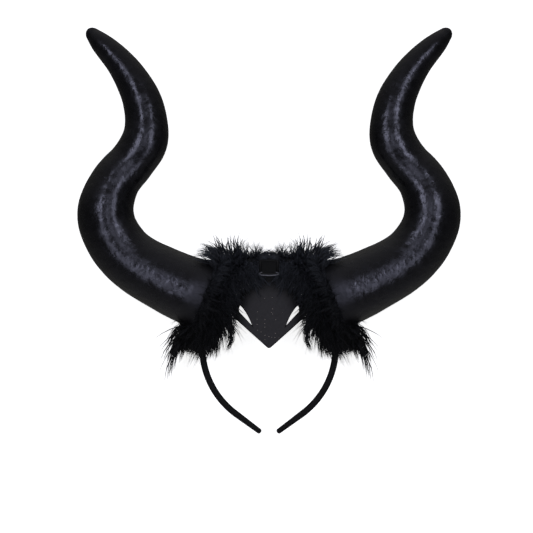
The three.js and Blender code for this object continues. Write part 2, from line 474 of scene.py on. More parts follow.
@dataclass(frozen=True)
class MouldedFoamSkin:
    """Polyurethane foam moulded with its own skin, then sprayed satin black."""

    colour: str = "#070708"
    sheen: str = "#e8e8ff"
    ior: float = 1.5
    glossy: float = 0.22
    dull: float = 0.33
    spray_edge: Span = (0.36, 0.64)
    ripple: Relief = Relief(size=15.0, depth=1.2, strength=0.6)
    mottle: Relief = Relief(size=6.0, depth=0.7, strength=0.7)
    pebble: Relief = Relief(size=2.4, depth=0.1, strength=0.4)
    rubbed: float = 0.6
    rubbed_within: float = 31.0
    rubbed_until: float = 41.5

    def material(self, feet: list[Vector]) -> Material:
        """Build the material.

        Args:
            feet: Centre of each horn's foot, in metres, round which the skin is rubbed dull.

        Returns:
            A dark skin whose soft highlights break up over shallow ripples, dull patches and a fine pebble.
        """
        # The skin follows the mould: satin, a little uneven, and patchy where the sprayed coat is thin.
        material, tree = blank_material("moulded foam skin")
        place = add_node(tree, "TexCoord", out="Object")
        noises = {}
        normal = None
        for relief in (self.ripple, self.mottle, self.pebble):
            pattern = {"Vector": place, "Scale": 1 / (relief.size * MM), "Detail": 2.0, "Roughness": 0.5}
            noises[relief] = add_node(tree, "TexNoise", pattern)
            bump = {"Height": noises[relief], "Strength": relief.strength, "Distance": relief.depth * MM}
            normal = add_node(tree, "Bump", bump | {"Normal": normal})
        edge = dict(zip(("From Min", "From Max"), self.spray_edge))
        gloss = {"Value": noises[self.mottle], "To Min": self.glossy, "To Max": self.dull}
        spray = add_node(tree, "MapRange", gloss | edge)
        from_feet = [
            add_node(tree, "VectorMath", {0: place, 1: tuple(foot)}, "Value", operation="DISTANCE")
            for foot in feet
        ]
        nearest = add_node(tree, "Math", dict(enumerate(from_feet)), operation="MINIMUM")
        edge = {"From Min": self.rubbed_within * MM, "From Max": self.rubbed_until * MM}
        rubbed = add_node(tree, "MapRange", {"Value": nearest, "To Min": self.rubbed, "To Max": 0.0} | edge)
        roughness = add_node(tree, "Math", {0: spray, 1: rubbed}, operation="MAXIMUM")
        sockets = {"Base Color": linear(self.colour), "Roughness": roughness, "Normal": normal}
        return surfaced(material, sockets | {"IOR": self.ior, "Specular Tint": linear(self.sheen)})


@dataclass(frozen=True)
class WrappedCloth:
    """Matt black cloth tape wound over a plastic hair band."""

    colour: str = "#08080a"
    faded: str = "#0c0c0f"
    fading: float = 14.0
    thread: float = 0.8
    thread_depth: float = 0.1
    thread_strength: float = 0.45
    roughness: float = 0.62
    ior: float = 1.26
    sheen: float = 0.02

    def material(self) -> Material:
        """Build the material.

        Returns:
            A matt black plain weave that follows the band.
        """
        # Wound tape is dull black and shows its weave. The real threads are about 0.4 mm, and they are drawn
        # twice as coarse so that they show.
        material, tree = blank_material("wound cloth tape")
        weave = add_node(tree, "Attribute", out="Vector", attribute_name="weave")
        axes = add_node(tree, "SeparateXYZ", {"Vector": weave}).node
        waves = []
        for axis in ("X", "Y"):
            turns = {0: axes.outputs[axis], 1: 2 * math.pi / self.thread}
            scaled = add_node(tree, "Math", turns, operation="MULTIPLY")
            waves.append(add_node(tree, "Math", {0: scaled}, operation="SINE"))
        crossing = add_node(tree, "Math", dict(enumerate(waves)), operation="MULTIPLY")
        bump = {"Height": crossing, "Strength": self.thread_strength, "Distance": self.thread_depth * MM}
        threads = add_node(tree, "Bump", bump)
        place = add_node(tree, "TexCoord", out="Object")
        pattern = {"Vector": place, "Scale": 1 / (self.fading * MM), "Detail": 2.0}
        fade = add_node(tree, "TexNoise", pattern)
        colours = {"Factor": fade, "A": linear(self.colour), "B": linear(self.faded)}
        worn = add_node(tree, "Mix", colours, "Result", data_type="RGBA")
        sockets = {"Base Color": worn, "Roughness": self.roughness, "Normal": threads}
        return surfaced(material, sockets | {"IOR": self.ior, "Sheen Weight": self.sheen})


@dataclass(frozen=True)
class Oval:
    """Oval on the front of a piece: its middle and its radii, in metres."""

    middle: Place
    radii: Place


@dataclass(frozen=True)
class FoamSheet:
    """Dark-grey EVA foam sheet with a fine closed-cell grain and a sprinkle of pale specks."""

    colour: str = "#272628"
    pale: str = "#343337"
    # Colour of the painted shade over the sheet's top, where the fur shades it
    dark: str = "#020203"
    speck: str = "#8c847f"
    cell: float = 1.1
    cell_depth: float = 0.16
    cell_strength: float = 0.5
    mottle: float = 2.4
    airbrushed: Span = (0.62, 1.08)
    speck_spacing: float = 3.3
    speck_radius: float = 0.09
    speckless: float = 0.66
    roughness: float = 0.68
    ior: float = 1.25

    def material(self, brow: Oval, speckled: Oval) -> Material:
        """Build the material.

        Args:
            brow: Oval over the brow outside which the sheet is painted darker, as painted shade.
            speckled: Oval in which the specks lie.

        Returns:
            A matt dark grey with fine cells, with painted shade darkening it outside the brow, and specks
            along the middle.
        """
        # Pressed foam is matt and finely celled. Its top is painted darker as painted shade from the fur over
        # it, and lint clings to the middle.
        material, tree = blank_material("EVA foam sheet")
        place = add_node(tree, "TexCoord", out="Object")
        cells = add_node(tree, "TexVoronoi", {"Vector": place, "Scale": 1 / (self.cell * MM)})
        bump = {"Height": cells, "Strength": self.cell_strength, "Distance": self.cell_depth * MM}
        grain = add_node(tree, "Bump", bump)
        pattern = {"Vector": place, "Scale": 1 / (self.mottle * MM), "Detail": 4.0, "Roughness": 0.65}
        mottle = add_node(tree, "TexNoise", pattern)
        colours = {"Factor": mottle, "A": linear(self.colour), "B": linear(self.pale)}
        grey = add_node(tree, "Mix", colours, "Result", data_type="RGBA")
        flat = add_node(tree, "VectorMath", {0: place, 1: (1.0, 1.0, 0.0)}, operation="MULTIPLY")
        shares = []
        for oval in (brow, speckled):
            from_middle = add_node(tree, "VectorMath", {0: flat, 1: oval.middle}, operation="SUBTRACT")
            scaled = add_node(tree, "VectorMath", {0: from_middle, 1: oval.radii}, operation="DIVIDE")
            shares.append(add_node(tree, "VectorMath", {0: scaled}, "Value", operation="LENGTH"))
        # Painted shade: the sheet darkens outside the brow oval, where the fur over it casts shade
        edge = dict(zip(("From Min", "From Max"), self.airbrushed))
        painted_shade = add_node(tree, "MapRange", {"Value": shares[0]} | edge, interpolation_type="SMOOTHSTEP")
        colours = {"Factor": painted_shade, "A": grey, "B": linear(self.dark)}
        shaded = add_node(tree, "Mix", colours, "Result", data_type="RGBA")
        pattern = {"Vector": place, "Scale": 1 / (self.speck_spacing * MM), "Randomness": 1.0}
        dots = add_node(tree, "TexVoronoi", pattern, voronoi_dimensions="2D")
        lot = add_node(tree, "SeparateColor", {"Color": dots.node.outputs["Color"]})
        specks = add_node(tree, "Math", {0: dots, 1: self.speck_radius}, operation="LESS_THAN")
        drawn = add_node(tree, "Math", {0: lot, 1: self.speckless}, operation="GREATER_THAN")
        inside = add_node(tree, "Math", {0: shares[1], 1: 1.0}, operation="LESS_THAN")
        for test in (drawn, inside):
            specks = add_node(tree, "Math", {0: specks, 1: test}, operation="MULTIPLY")
        colours = {"Factor": specks, "A": shaded, "B": linear(self.speck)}
        dusted = add_node(tree, "Mix", colours, "Result", data_type="RGBA")
        sockets = {"Base Color": dusted, "Roughness": self.roughness, "IOR": self.ior, "Normal": grain}
        return surfaced(material, sockets)


@dataclass(frozen=True)
class DeepPileFur:
    """Black deep-pile fur of acrylic hairs, with a cool sheen painted on their tips."""

    root: str = "#060608"
    tip: str = "#464a54"
    roughness: float = 0.55
    ior: float = 1.3

    def material(self) -> Material:
        """Build the material.

        Returns:
            Near-black hairs that are painted a little greyer and bluer towards their tips, as painted sheen.
        """
        # Each hair is dark at its root and painted paler at its tip, a painted sheen, so the pile reads as
        # soft and deep. Hairs rooted near the crown are painted paler still, as painted light from above.
        material, tree = blank_material("deep-pile fur")
        marks = [add_node(tree, "Attribute", out="Fac", attribute_name=name) for name in ("along", "shade")]
        paleness = add_node(tree, "Math", dict(enumerate(marks)), operation="MULTIPLY")
        colours = {"Factor": paleness, "A": linear(self.root), "B": linear(self.tip)}
        colour = add_node(tree, "Mix", colours, "Result", data_type="RGBA")
        return surfaced(material, {"Base Color": colour, "Roughness": self.roughness, "IOR": self.ior})


@dataclass(frozen=True)
class GrainedFinish:
    """Material of one colour with a fine grain, whose size and depth are in millimetres."""

    name: str
    colour: str
    roughness: float
    ior: float | None
    grain: Grain
    grain_size: float
    grain_depth: float
    grain_strength: float = 0.4
    detail: float | None = None
    specular: float | None = None
    glow: float | None = None

    def material(self) -> Material:
        """Build the material.

        Returns:
            A plain colour whose shine is broken up by the grain.
        """
        material, tree = blank_material(self.name)
        kind, settings = self.grain.value
        place = add_node(tree, "TexCoord", out="Object")
        pattern = {"Vector": place, "Scale": 1 / (self.grain_size * MM), "Detail": self.detail}
        height = add_node(tree, kind, pattern, **settings)
        bump = {"Height": height, "Strength": self.grain_strength, "Distance": self.grain_depth * MM}
        colour = linear(self.colour)
        sockets = {
            "Base Color": colour,
            "Roughness": self.roughness,
            "IOR": self.ior,
            "Normal": add_node(tree, "Bump", bump),
            "Specular IOR Level": self.specular,
            "Emission Color": colour if self.glow else None,
            "Emission Strength": self.glow,
        }
        return surfaced(material, sockets)


# The cut edge and its rounded rim are painted near-black, a painted shade, so they read as a thin near-black
# line round the sheet.
PAINTED_SHADE_EDGE = GrainedFinish(
    name="heat-sealed foam edge", colour="#020203", roughness=0.8, ior=1.3,
    grain=Grain.FLECKED, grain_size=0.9, grain_depth=0.15, detail=2.0,
)

# The polyurethane coat is pebbled as leather is, so the strap is matt black with a soft broken shine.
COATED_STRAP = GrainedFinish(
    name="coated strap", colour="#08080a", roughness=0.6, ior=1.28,
    grain=Grain.PEBBLED, grain_size=1.0, grain_depth=0.15,
)

# The sunk panel is brushed and takes no shine, so it stands out a little paler than its border.
BRUSHED_PANEL = GrainedFinish(
    name="brushed strap panel", colour="#101011", roughness=0.75, ior=1.22,
    grain=Grain.PEBBLED, grain_size=0.8, grain_depth=0.15,
)

# The rolled edge is glossy, and its pale grey is a painted highlight, so it gives the tab one bright line.
HIGHLIGHT_PAINTED_EDGE = GrainedFinish(
    name="polished strap edge", colour="#5a5a62", roughness=0.22, ior=1.5,
    grain=Grain.PEBBLED, grain_size=2.5, grain_depth=0.15,
)

# The knit that carries the hairs shows only between them, as a dull dark ground.
KNITTED_BACKING = GrainedFinish(
    name="knitted fur backing", colour="#08080a", roughness=0.85, ior=1.45,
    grain=Grain.KNITTED, grain_size=1.4, grain_depth=0.3, grain_strength=0.6,
)

# Paper is matt with a barely visible tooth, and its glow keeps the ground white as in a lit studio.
WHITE_PAPER = GrainedFinish(
    name="matt white paper", colour="#f7f7f7", roughness=0.9, ior=None,
    grain=Grain.FLECKED, grain_size=2.0, grain_depth=0.1, grain_strength=0.05, detail=3.0,
    specular=0.1, glow=0.88,
)


# Sub-assemblies


@dataclass(frozen=True)
class BandLine:
    """Centre line of the hair band: a half circle over the head, straight sides, hooks and straight ends."""

    origin: Vector
    arch_radius: float = 61.2
    side_length: float = 18.0
    hook_radius: float = 76.0
    hook_sweep: float = math.radians(53.5)
    end_length: float = 28.5

    def world(self, x: float, y: float, z: float = 0.0) -> Vector:
        """Turn millimetres from the arch's centre, and above the band's, to a point in metres."""
        return self.origin + Vector((x, y, z)) * MM

    @property
    def quarter(self) -> float:
        """Length of the arch from the crown to one side, in millimetres."""
        return self.arch_radius * math.pi / 2

    def near_crown(self, distance: np.ndarray) -> Trio:
        """Find the right half of the arch and side, by the distance from the crown.

        Args:
            distance: Distances from the crown in millimetres.

        Returns:
            Centres, directions away from the crown and directions away from the head, each with rows of
            three numbers, in millimetres from the arch's centre.
        """
        angle = np.minimum(distance, self.quarter) / self.arch_radius
        below = np.maximum(distance - self.quarter, 0.0)
        sine, cosine, nought = np.sin(angle), np.cos(angle), np.zeros_like(angle)
        centre = np.stack([self.arch_radius * sine, self.arch_radius * cosine - below, nought], axis=1)
        along = np.stack([cosine, -sine, nought], axis=1)
        outward = np.stack([sine, cosine, nought], axis=1)
        return centre, along, outward

    def measure(self, x: float, y: float) -> Span:
        """Find where a point lies along and beside the line.

        Args:
            x: Millimetres to the right of the arch's centre.
            y: Millimetres above the arch's centre.

        Returns:
            Distance along the line from the crown, and distance outwards from it, in millimetres.
        """
        hand = -1.0 if x < 0 else 1.0
        out = abs(x)
        if y >= 0:
            return hand * self.arch_radius * math.atan2(out, y), math.hypot(out, y) - self.arch_radius
        if y >= -self.side_length:
            return hand * (self.quarter - y), out - self.arch_radius
        from_hook = Vector((out - self.arch_radius + self.hook_radius, y + self.side_length))
        turn = math.atan2(-from_hook.y, from_hook.x)
        start = self.quarter + self.side_length
        if turn <= self.hook_sweep:
            return hand * (start + self.hook_radius * turn), from_hook.length - self.hook_radius
        along = Vector((-math.sin(self.hook_sweep), -math.cos(self.hook_sweep)))
        outward = Vector((math.cos(self.hook_sweep), -math.sin(self.hook_sweep)))
        run = start + self.hook_radius * self.hook_sweep + from_hook.dot(along)
        return hand * run, from_hook.dot(outward) - self.hook_radius


@dataclass
class HairBand:
    """Slim hair band wound with cloth tape."""

    line: BandLine
    finish: WrappedCloth = WrappedCloth()
    thickness: float = 6.0
    width: float = 9.0
    corner: float = 2.2
    arch_steps: int = 40
    hook_steps: int = 22
    end_steps: int = 6
    end_share: float = 0.8
    end_round: float = 1.7
    end_taper: tuple[float, ...] = (0.93, 0.76, 0.42)

    def build(self) -> Piece:
        """Spin and extrude the band's section from the crown to one end, then mirror it.

        Returns:
            The finished piece, in place of the frame's band.
        """
        line = self.line
        top = line.world(0, line.arch_radius)
        clear_selection()
        bpy.ops.mesh.primitive_plane_add(size=1.0, location=top, rotation=(0, math.pi / 2, 0))
        piece = bpy.context.object
        piece.scale = (self.width * MM, self.thickness * MM, 1.0)
        settle(piece, "band_wrap")
        with editing(piece):
            bpy.ops.mesh.select_all(action="SELECT")
            bpy.ops.mesh.bevel(offset=self.corner * MM, segments=4, affect="VERTICES")
            bpy.ops.mesh.delete(type="ONLY_FACE")
            bpy.ops.mesh.select_all(action="SELECT")
            spin(line.origin, math.pi / 2, self.arch_steps)
            extrude(Vector((0, -line.side_length * MM, 0)))
            hook = line.world(line.arch_radius - line.hook_radius, -line.side_length)
            spin(hook, line.hook_sweep, self.hook_steps)
            self.end(hook)
        apply_modifier(piece, "MIRROR", merge_threshold=TOUCH)
        close_seams(piece)
        self.mark_weave(piece)
        smooth_by_angle(piece, 40)
        dress(piece, self.finish.material())
        join_frame(piece, "hair_band")
        return piece

    def end(self, hook: Vector) -> None:
        """Draw out the straight end from the selected ring, taper it and round it off.

        Args:
            hook: Centre of the hooked arc, in metres.
        """
        line = self.line
        along = Vector((-math.sin(line.hook_sweep), -math.cos(line.hook_sweep), 0))
        outward = Vector((math.cos(line.hook_sweep), -math.sin(line.hook_sweep), 0))
        centre = hook + outward * line.hook_radius * MM
        step = along * (line.end_length - self.end_round) / self.end_steps * MM
        share = self.end_share ** (1 / self.end_steps)
        for _ in range(self.end_steps):
            centre = draw_out(centre, step, share)
        step = along * self.end_round / len(self.end_taper) * MM
        last = 1.0
        for scale in self.end_taper:
            centre = draw_out(centre, step, scale / last)
            last = scale
        bpy.ops.mesh.edge_face_add()

    def mark_weave(self, piece: Piece) -> None:
        """Store how far along and across the tape each vertex lies, in millimetres.

        Args:
            piece: The band's mesh object.
        """
        weave = piece.data.attributes.new("weave", "FLOAT_VECTOR", "POINT")
        for vertex, mark in zip(piece.data.vertices, weave.data):
            place = (vertex.co - self.line.origin) / MM
            along, outward = self.line.measure(place.x, place.y)
            mark.vector = (along, place.z + outward, 0.0)


@dataclass(frozen=True)
class HornSection:
    """One section of a horn: its centre from the arch's centre, and its radius."""

    out: float
    up: float
    radius: float


@dataclass
class Horns:
    """Pair of S-curved horns of moulded foam, which lie with their backs on the floor."""

    line: BandLine
    finish: MouldedFoamSkin = MouldedFoamSkin()
    tip_round: float = 6.4
    tip_taper: float = 16.0
    tip_turns: tuple[float, ...] = (26, 38, 50, 62, 74, 84)
    stretches: int = 8
    groove: float = 0.4
    unevenness: float = 0.5
    dent_size: float = 16.0
    hair_gap: float = 0.4
    foot_back: float = 0.5
    least_reach: float = 0.1
    sections: tuple[HornSection, ...] = (
        HornSection(55.0, 27.2, 32.5),
        HornSection(90.9, 42.1, 29.8),
        HornSection(129.0, 64.6, 27.1),
        HornSection(146.9, 89.9, 26.4),
        HornSection(150.0, 109.0, 25.9),
        HornSection(141.1, 134.2, 22.9),
        HornSection(126.1, 152.5, 21.4),
        HornSection(114.7, 170.7, 21.6),
        HornSection(113.1, 190.0, 19.7),
        HornSection(118.9, 214.0, 17.5),
        HornSection(135.8, 242.2, 13.7),
        HornSection(155.3, 262.6, 9.8),
        HornSection(162.9, 270.4, 6.7),
    )

    def build(self, band: Piece) -> dict[Side, Piece]:
        """Draw the right horn as a tapered curve, seat it on the band and mirror it.

        Args:
            band: The hair band, for which the foot has a groove.

        Returns:
            The horn of each side, in place of the frame's horns.
        """
        piece = self.drawn_curve()
        self.round_tip(piece)
        self.seat(piece, band)
        self.roughen(piece)
        smooth_by_angle(piece, 40)
        foot = self.sections[0]
        feet = [self.line.world(side.value * foot.out, foot.up) for side in Side]
        dress(piece, self.finish.material(feet))
        horns = {Side.RIGHT: piece, Side.LEFT: mirrored(piece, "horn_skin_left")}
        for side, horn in horns.items():
            join_frame(horn, f"horn_{side.word}")
        return horns

    def spine(self) -> np.ndarray:
        """Draw a smooth line through the sections.

        Returns:
            Rows of out, up and radius, in millimetres.
        """
        knots = np.array([(section.out, section.up, section.radius) for section in self.sections])
        knots = np.vstack([2 * knots[0] - knots[1], knots, 2 * knots[-1] - knots[-2]])
        rows = []
        for before, near, far, after in zip(knots, knots[1:], knots[2:], knots[3:]):
            gaps = [math.sqrt(np.linalg.norm(b - a)) for a, b in ((before, near), (near, far), (far, after))]
            leave = (near - before) / gaps[0] - (far - before) / (gaps[0] + gaps[1]) + (far - near) / gaps[1]
            reach = (far - near) / gaps[1] - (after - near) / (gaps[1] + gaps[2]) + (after - far) / gaps[2]
            leave, reach = leave * gaps[1], reach * gaps[1]
            for t in np.arange(self.stretches) / self.stretches:
                cubic = 2 * t**3 - 3 * t**2
                bow = (t**3 - 2 * t**2 + t) * leave
                rows.append((cubic + 1) * near + bow - cubic * far + (t**3 - t**2) * reach)
        return np.array(rows + [knots[-2]])

    def drawn_curve(self) -> Piece:
        """Draw the horn's spine with its radii and turn it to a mesh.

        Returns:
            A closed tube with flat ends.
        """
        piece = new_curve(dimensions="3D", bevel_depth=MM, bevel_resolution=14, use_fill_caps=True)
        piece.data.splines.clear()
        spline = piece.data.splines.new("POLY")
        rows = self.spine()
        spline.points.add(len(rows) - 1)
        for point, (out, up, radius) in zip(spline.points, rows):
            place = self.line.world(out, up)
            point.co = (place.x, place.y, radius * MM, 1.0)
            point.radius = radius
        bpy.ops.object.convert(target="MESH")
        settle(piece, "horn_skin_right")
        close_seams(piece)
        return piece

    def round_tip(self, piece: Piece) -> None:
        """Extrude the flat tip into a round one.

        Args:
            piece: The horn's tube.
        """
        last, neighbour = self.sections[-1], self.sections[-2]
        centre = self.line.world(last.out, last.up)
        centre.z = last.radius * MM
        heading = Vector((last.out - neighbour.out, last.up - neighbour.up, 0)).normalized()

        def on_tip(face: bmesh.types.BMFace) -> bool:
            """Say whether a face is the tube's flat end at the tip."""
            near = (face.calc_center_median() - centre).length < last.radius * MM
            return near and face.normal.dot(heading) > 0.9

        before = math.radians(self.tip_taper)
        reach = self.tip_round * MM / (1 - math.sin(before))
        with editing(piece):
            select(piece, Element.FACE, on_tip)
            for angle in self.tip_turns:
                turn = math.radians(angle)
                move = heading * reach * (math.sin(turn) - math.sin(before))
                centre = draw_out(centre, move, math.cos(turn) / math.cos(before))
                before = turn

    def seat(self, piece: Piece, band: Piece) -> None:
        """Cut the groove in which the band lies from the horn's foot.

        Args:
            piece: The horn.
            band: The hair band.
        """
        tool = copied(band, "groove tool")
        apply_modifier(tool, "DISPLACE", strength=self.groove * MM, mid_level=0.0)
        cut(piece, tool)
        bpy.data.objects.remove(tool, do_unlink=True)

    def roughen(self, piece: Piece) -> None:
        """Make the skin a little uneven, as foam from a mould is.

        Args:
            piece: The horn.
        """
        clouds = bpy.data.textures.new("mould unevenness", "CLOUDS")
        clouds.noise_scale = self.dent_size * MM
        clouds.noise_depth = 2
        dents = {"texture": clouds, "texture_coords": "GLOBAL", "mid_level": 0.5}
        apply_modifier(piece, "DISPLACE", strength=self.unevenness * MM, **dents)
        for vertex in piece.data.vertices:
            vertex.co.z = max(vertex.co.z, 0.0)

    def foot(self) -> tuple[np.ndarray, np.ndarray]:
        """Find the foot of the right horn.

        Returns:
            The foot's centre above the floor, in millimetres, and the way in which the horn leaves it.
        """
        foot, arm = self.sections[0], self.sections[1]
        base = np.array([foot.out, foot.up, foot.radius])
        axis = np.array([arm.out, arm.up, arm.radius]) - base
        return base, axis / np.linalg.norm(axis)

    def push_out(self, points: np.ndarray) -> tuple[np.ndarray, np.ndarray]:
        """Push points near the foot of the right horn out of it.

        Args:
            points: Rows of three numbers in millimetres from the arch's centre and above the floor.

        Returns:
            The moved points, and how deep each one was inside the horn.
        """
        foot, arm = self.sections[0], self.sections[1]
        base, axis = self.foot()
        length = math.hypot(arm.out - foot.out, arm.up - foot.up)
        run = (points - base) @ axis
        spoke = points - base - run[:, None] * axis
        reach = np.linalg.norm(spoke, axis=1)
        radius = foot.radius + (arm.radius - foot.radius) * run / length + self.hair_gap
        depth = np.where(run > -self.foot_back, radius - reach, 0.0)
        inside = depth > 0
        moved = points.copy()
        share = depth[inside] / np.maximum(reach[inside], self.least_reach)
        moved[inside] += spoke[inside] * share[:, None]
        return moved, np.maximum(depth, 0.0)


@dataclass
class ForeheadPeak:
    """Pointed peak of foam sheet over the brow, with an almond slit on each side."""

    line: BandLine
    finish: FoamSheet = FoamSheet()
    edge_finish: GrainedFinish = PAINTED_SHADE_EDGE
    wall: float = 2.4
    neck_front: float = 7.2
    neck_half_width: float = 7.5
    neck_top: float = 63.0
    neck_end: float = 45.4
    shoulder_out: float = 34.0
    shoulder_up: float = 17.0
    shoulder_pull: float = 34.0
    corner_up: float = 11.0
    tip_up: float = -19.3
    tip_radius: float = 2.0
    slit_top: Span = (26.3, 20.5)
    slit_back: Span = (27.9, 18.0)
    slit_heel: Span = (27.1, 14.7)
    slit_toe: Span = (15.8, 2.6)
    slit_brow: Span = (19.6, 13.4)
    reach_forward: float = 17.0
    side_curve: float = 75.0
    curved_below: float = 0.4
    edge_round: float = 0.7
    first_cut: float = 1.0
    cut_spacing: float = 2.0
    # Oval outside which the sheet is painted darker as painted shade, then the oval in which the specks lie
    brow_up: float = 2.0
    brow_radii: Span = (30.0, 43.0)
    speckled_up: float = 6.0
    speckled_radii: Span = (13.0, 23.0)

    def front(self, x: np.ndarray, y: np.ndarray) -> np.ndarray:
        """Give the height of the sheet's front above the band's centre line.

        Args:
            x: Millimetres beside the arch's centre.
            y: Millimetres above the arch's centre.

        Returns:
            Heights in millimetres.
        """
        down = np.clip((self.neck_end - y) / (self.neck_end - self.tip_up), 0.0, 1.0)
        forward = self.reach_forward * (1 - (1 - down) ** 2)
        part = np.clip(down / self.curved_below, 0.0, 1.0)
        return self.neck_front + forward - x * x / (2 * self.side_curve) * part * part * (3 - 2 * part)

    def outline(self) -> Line:
        """Draw the outline of the cut sheet.

        Returns:
            Points from the neck's right corner round the tip to its left corner, in millimetres.
        """
        slope = (self.corner_up - self.tip_up) / self.shoulder_out
        neck, shoulder, tip = self.neck_half_width, self.shoulder_out, self.tip_radius
        right = [(neck, self.neck_top), (neck, self.neck_end)]
        shoulder_line = [right[-1], (shoulder, self.shoulder_pull), (shoulder, self.shoulder_up)]
        right += smooth_curve(shoulder_line, steps=14)
        right.append((shoulder, self.corner_up))
        low = self.tip_up + slope * tip
        point = [(tip, low)] + smooth_curve([(tip, low), (0.0, self.tip_up), (-tip, low)], steps=6)
        return right + point + [(-x, y) for x, y in reversed(right)]

    def slit(self, side: Side) -> Line:
        """List the points of one almond slit, in millimetres.

        Args:
            side: Half of the peak.

        Returns:
            Points from the slit's top round its heel and toe.
        """
        points = [self.slit_top]
        points += smooth_curve([self.slit_top, self.slit_back, self.slit_heel], steps=5)
        points.append(self.slit_toe)
        points += smooth_curve([self.slit_toe, self.slit_brow, self.slit_top], steps=12)[:-1]
        return [(side.value * x, y) for x, y in points]

    def build(self) -> Piece:
        """Cut the flat sheet with its slits, round its edges and bow it over the brow.

        Returns:
            The finished piece, in place of the frame's peak.
        """
        outlines = [self.outline()] + [self.slit(side) for side in Side]
        flat = [[tuple(self.line.world(x, y).xy) for x, y in outline] for outline in outlines]
        piece = flat_sheet(flat, self.wall * MM)
        settle(piece, "peak_sheet")
        close_seams(piece)
        self.round_edges(piece)
        self.bow(piece)
        smooth_by_angle(piece, 45)
        dress(piece, *self.materials())
        join_frame(piece, "forehead_peak")
        return piece

    def round_edges(self, piece: Piece) -> None:
        """Round the rims of the flat sheet, and give them and the cut walls the second material.

        Args:
            piece: The flat sheet.
        """

        def on_rim(edge: bmesh.types.BMEdge) -> bool:
            """Say whether an edge lies between a face of the sheet and a cut wall."""
            return {round(abs(face.normal.z)) for face in edge.link_faces} == {0, 1}

        with editing(piece):
            bpy.ops.mesh.select_all(action="SELECT")
            bpy.ops.mesh.dissolve_limited(angle_limit=math.radians(0.5))
            select(piece, Element.EDGE, on_rim)
            bpy.ops.mesh.bevel(offset=self.edge_round * MM, segments=3, affect="EDGES", miter_outer="ARC")
        # Rims and cut walls take the near-black edge material, which is painted shade
        for face in piece.data.polygons:
            face.material_index = int(abs(face.normal.z) < 0.99)

    def bow(self, piece: Piece) -> None:
        """Divide the flat sheet with straight cuts and bow it over the brow.

        Args:
            piece: The flat sheet with rounded edges.
        """
        line = self.line
        across = np.arange(-self.shoulder_out + self.first_cut, self.shoulder_out, self.cut_spacing)
        along = np.arange(self.tip_up + self.first_cut, self.neck_top, self.cut_spacing)
        cuts = [(line.world(x, 0), (1, 0, 0)) for x in across]
        cuts += [(line.world(0, y), (0, 1, 0)) for y in along]
        with editing(piece):
            for place, normal in cuts:
                bpy.ops.mesh.select_all(action="SELECT")
                bpy.ops.mesh.bisect(plane_co=tuple(place), plane_no=normal, threshold=0.05 * MM)
        for vertex in piece.data.vertices:
            place = (vertex.co - line.origin) / MM
            vertex.co.z += line.origin.z + float(self.front(np.array(place.x), np.array(place.y))) * MM

    def materials(self) -> tuple[Material, Material]:
        """Build the sheet's own material and that of its cut edges.

        Returns:
            The materials in the order of the faces' numbers.
        """
        ovals = []
        places = (self.brow_up, self.brow_radii), (self.speckled_up, self.speckled_radii)
        for up, (half_width, half_height) in places:
            middle = self.line.world(0, up)
            ovals.append(Oval((middle.x, middle.y, 0.0), (half_width * MM, half_height * MM, 1.0)))
        return self.finish.material(*ovals), self.edge_finish.material()


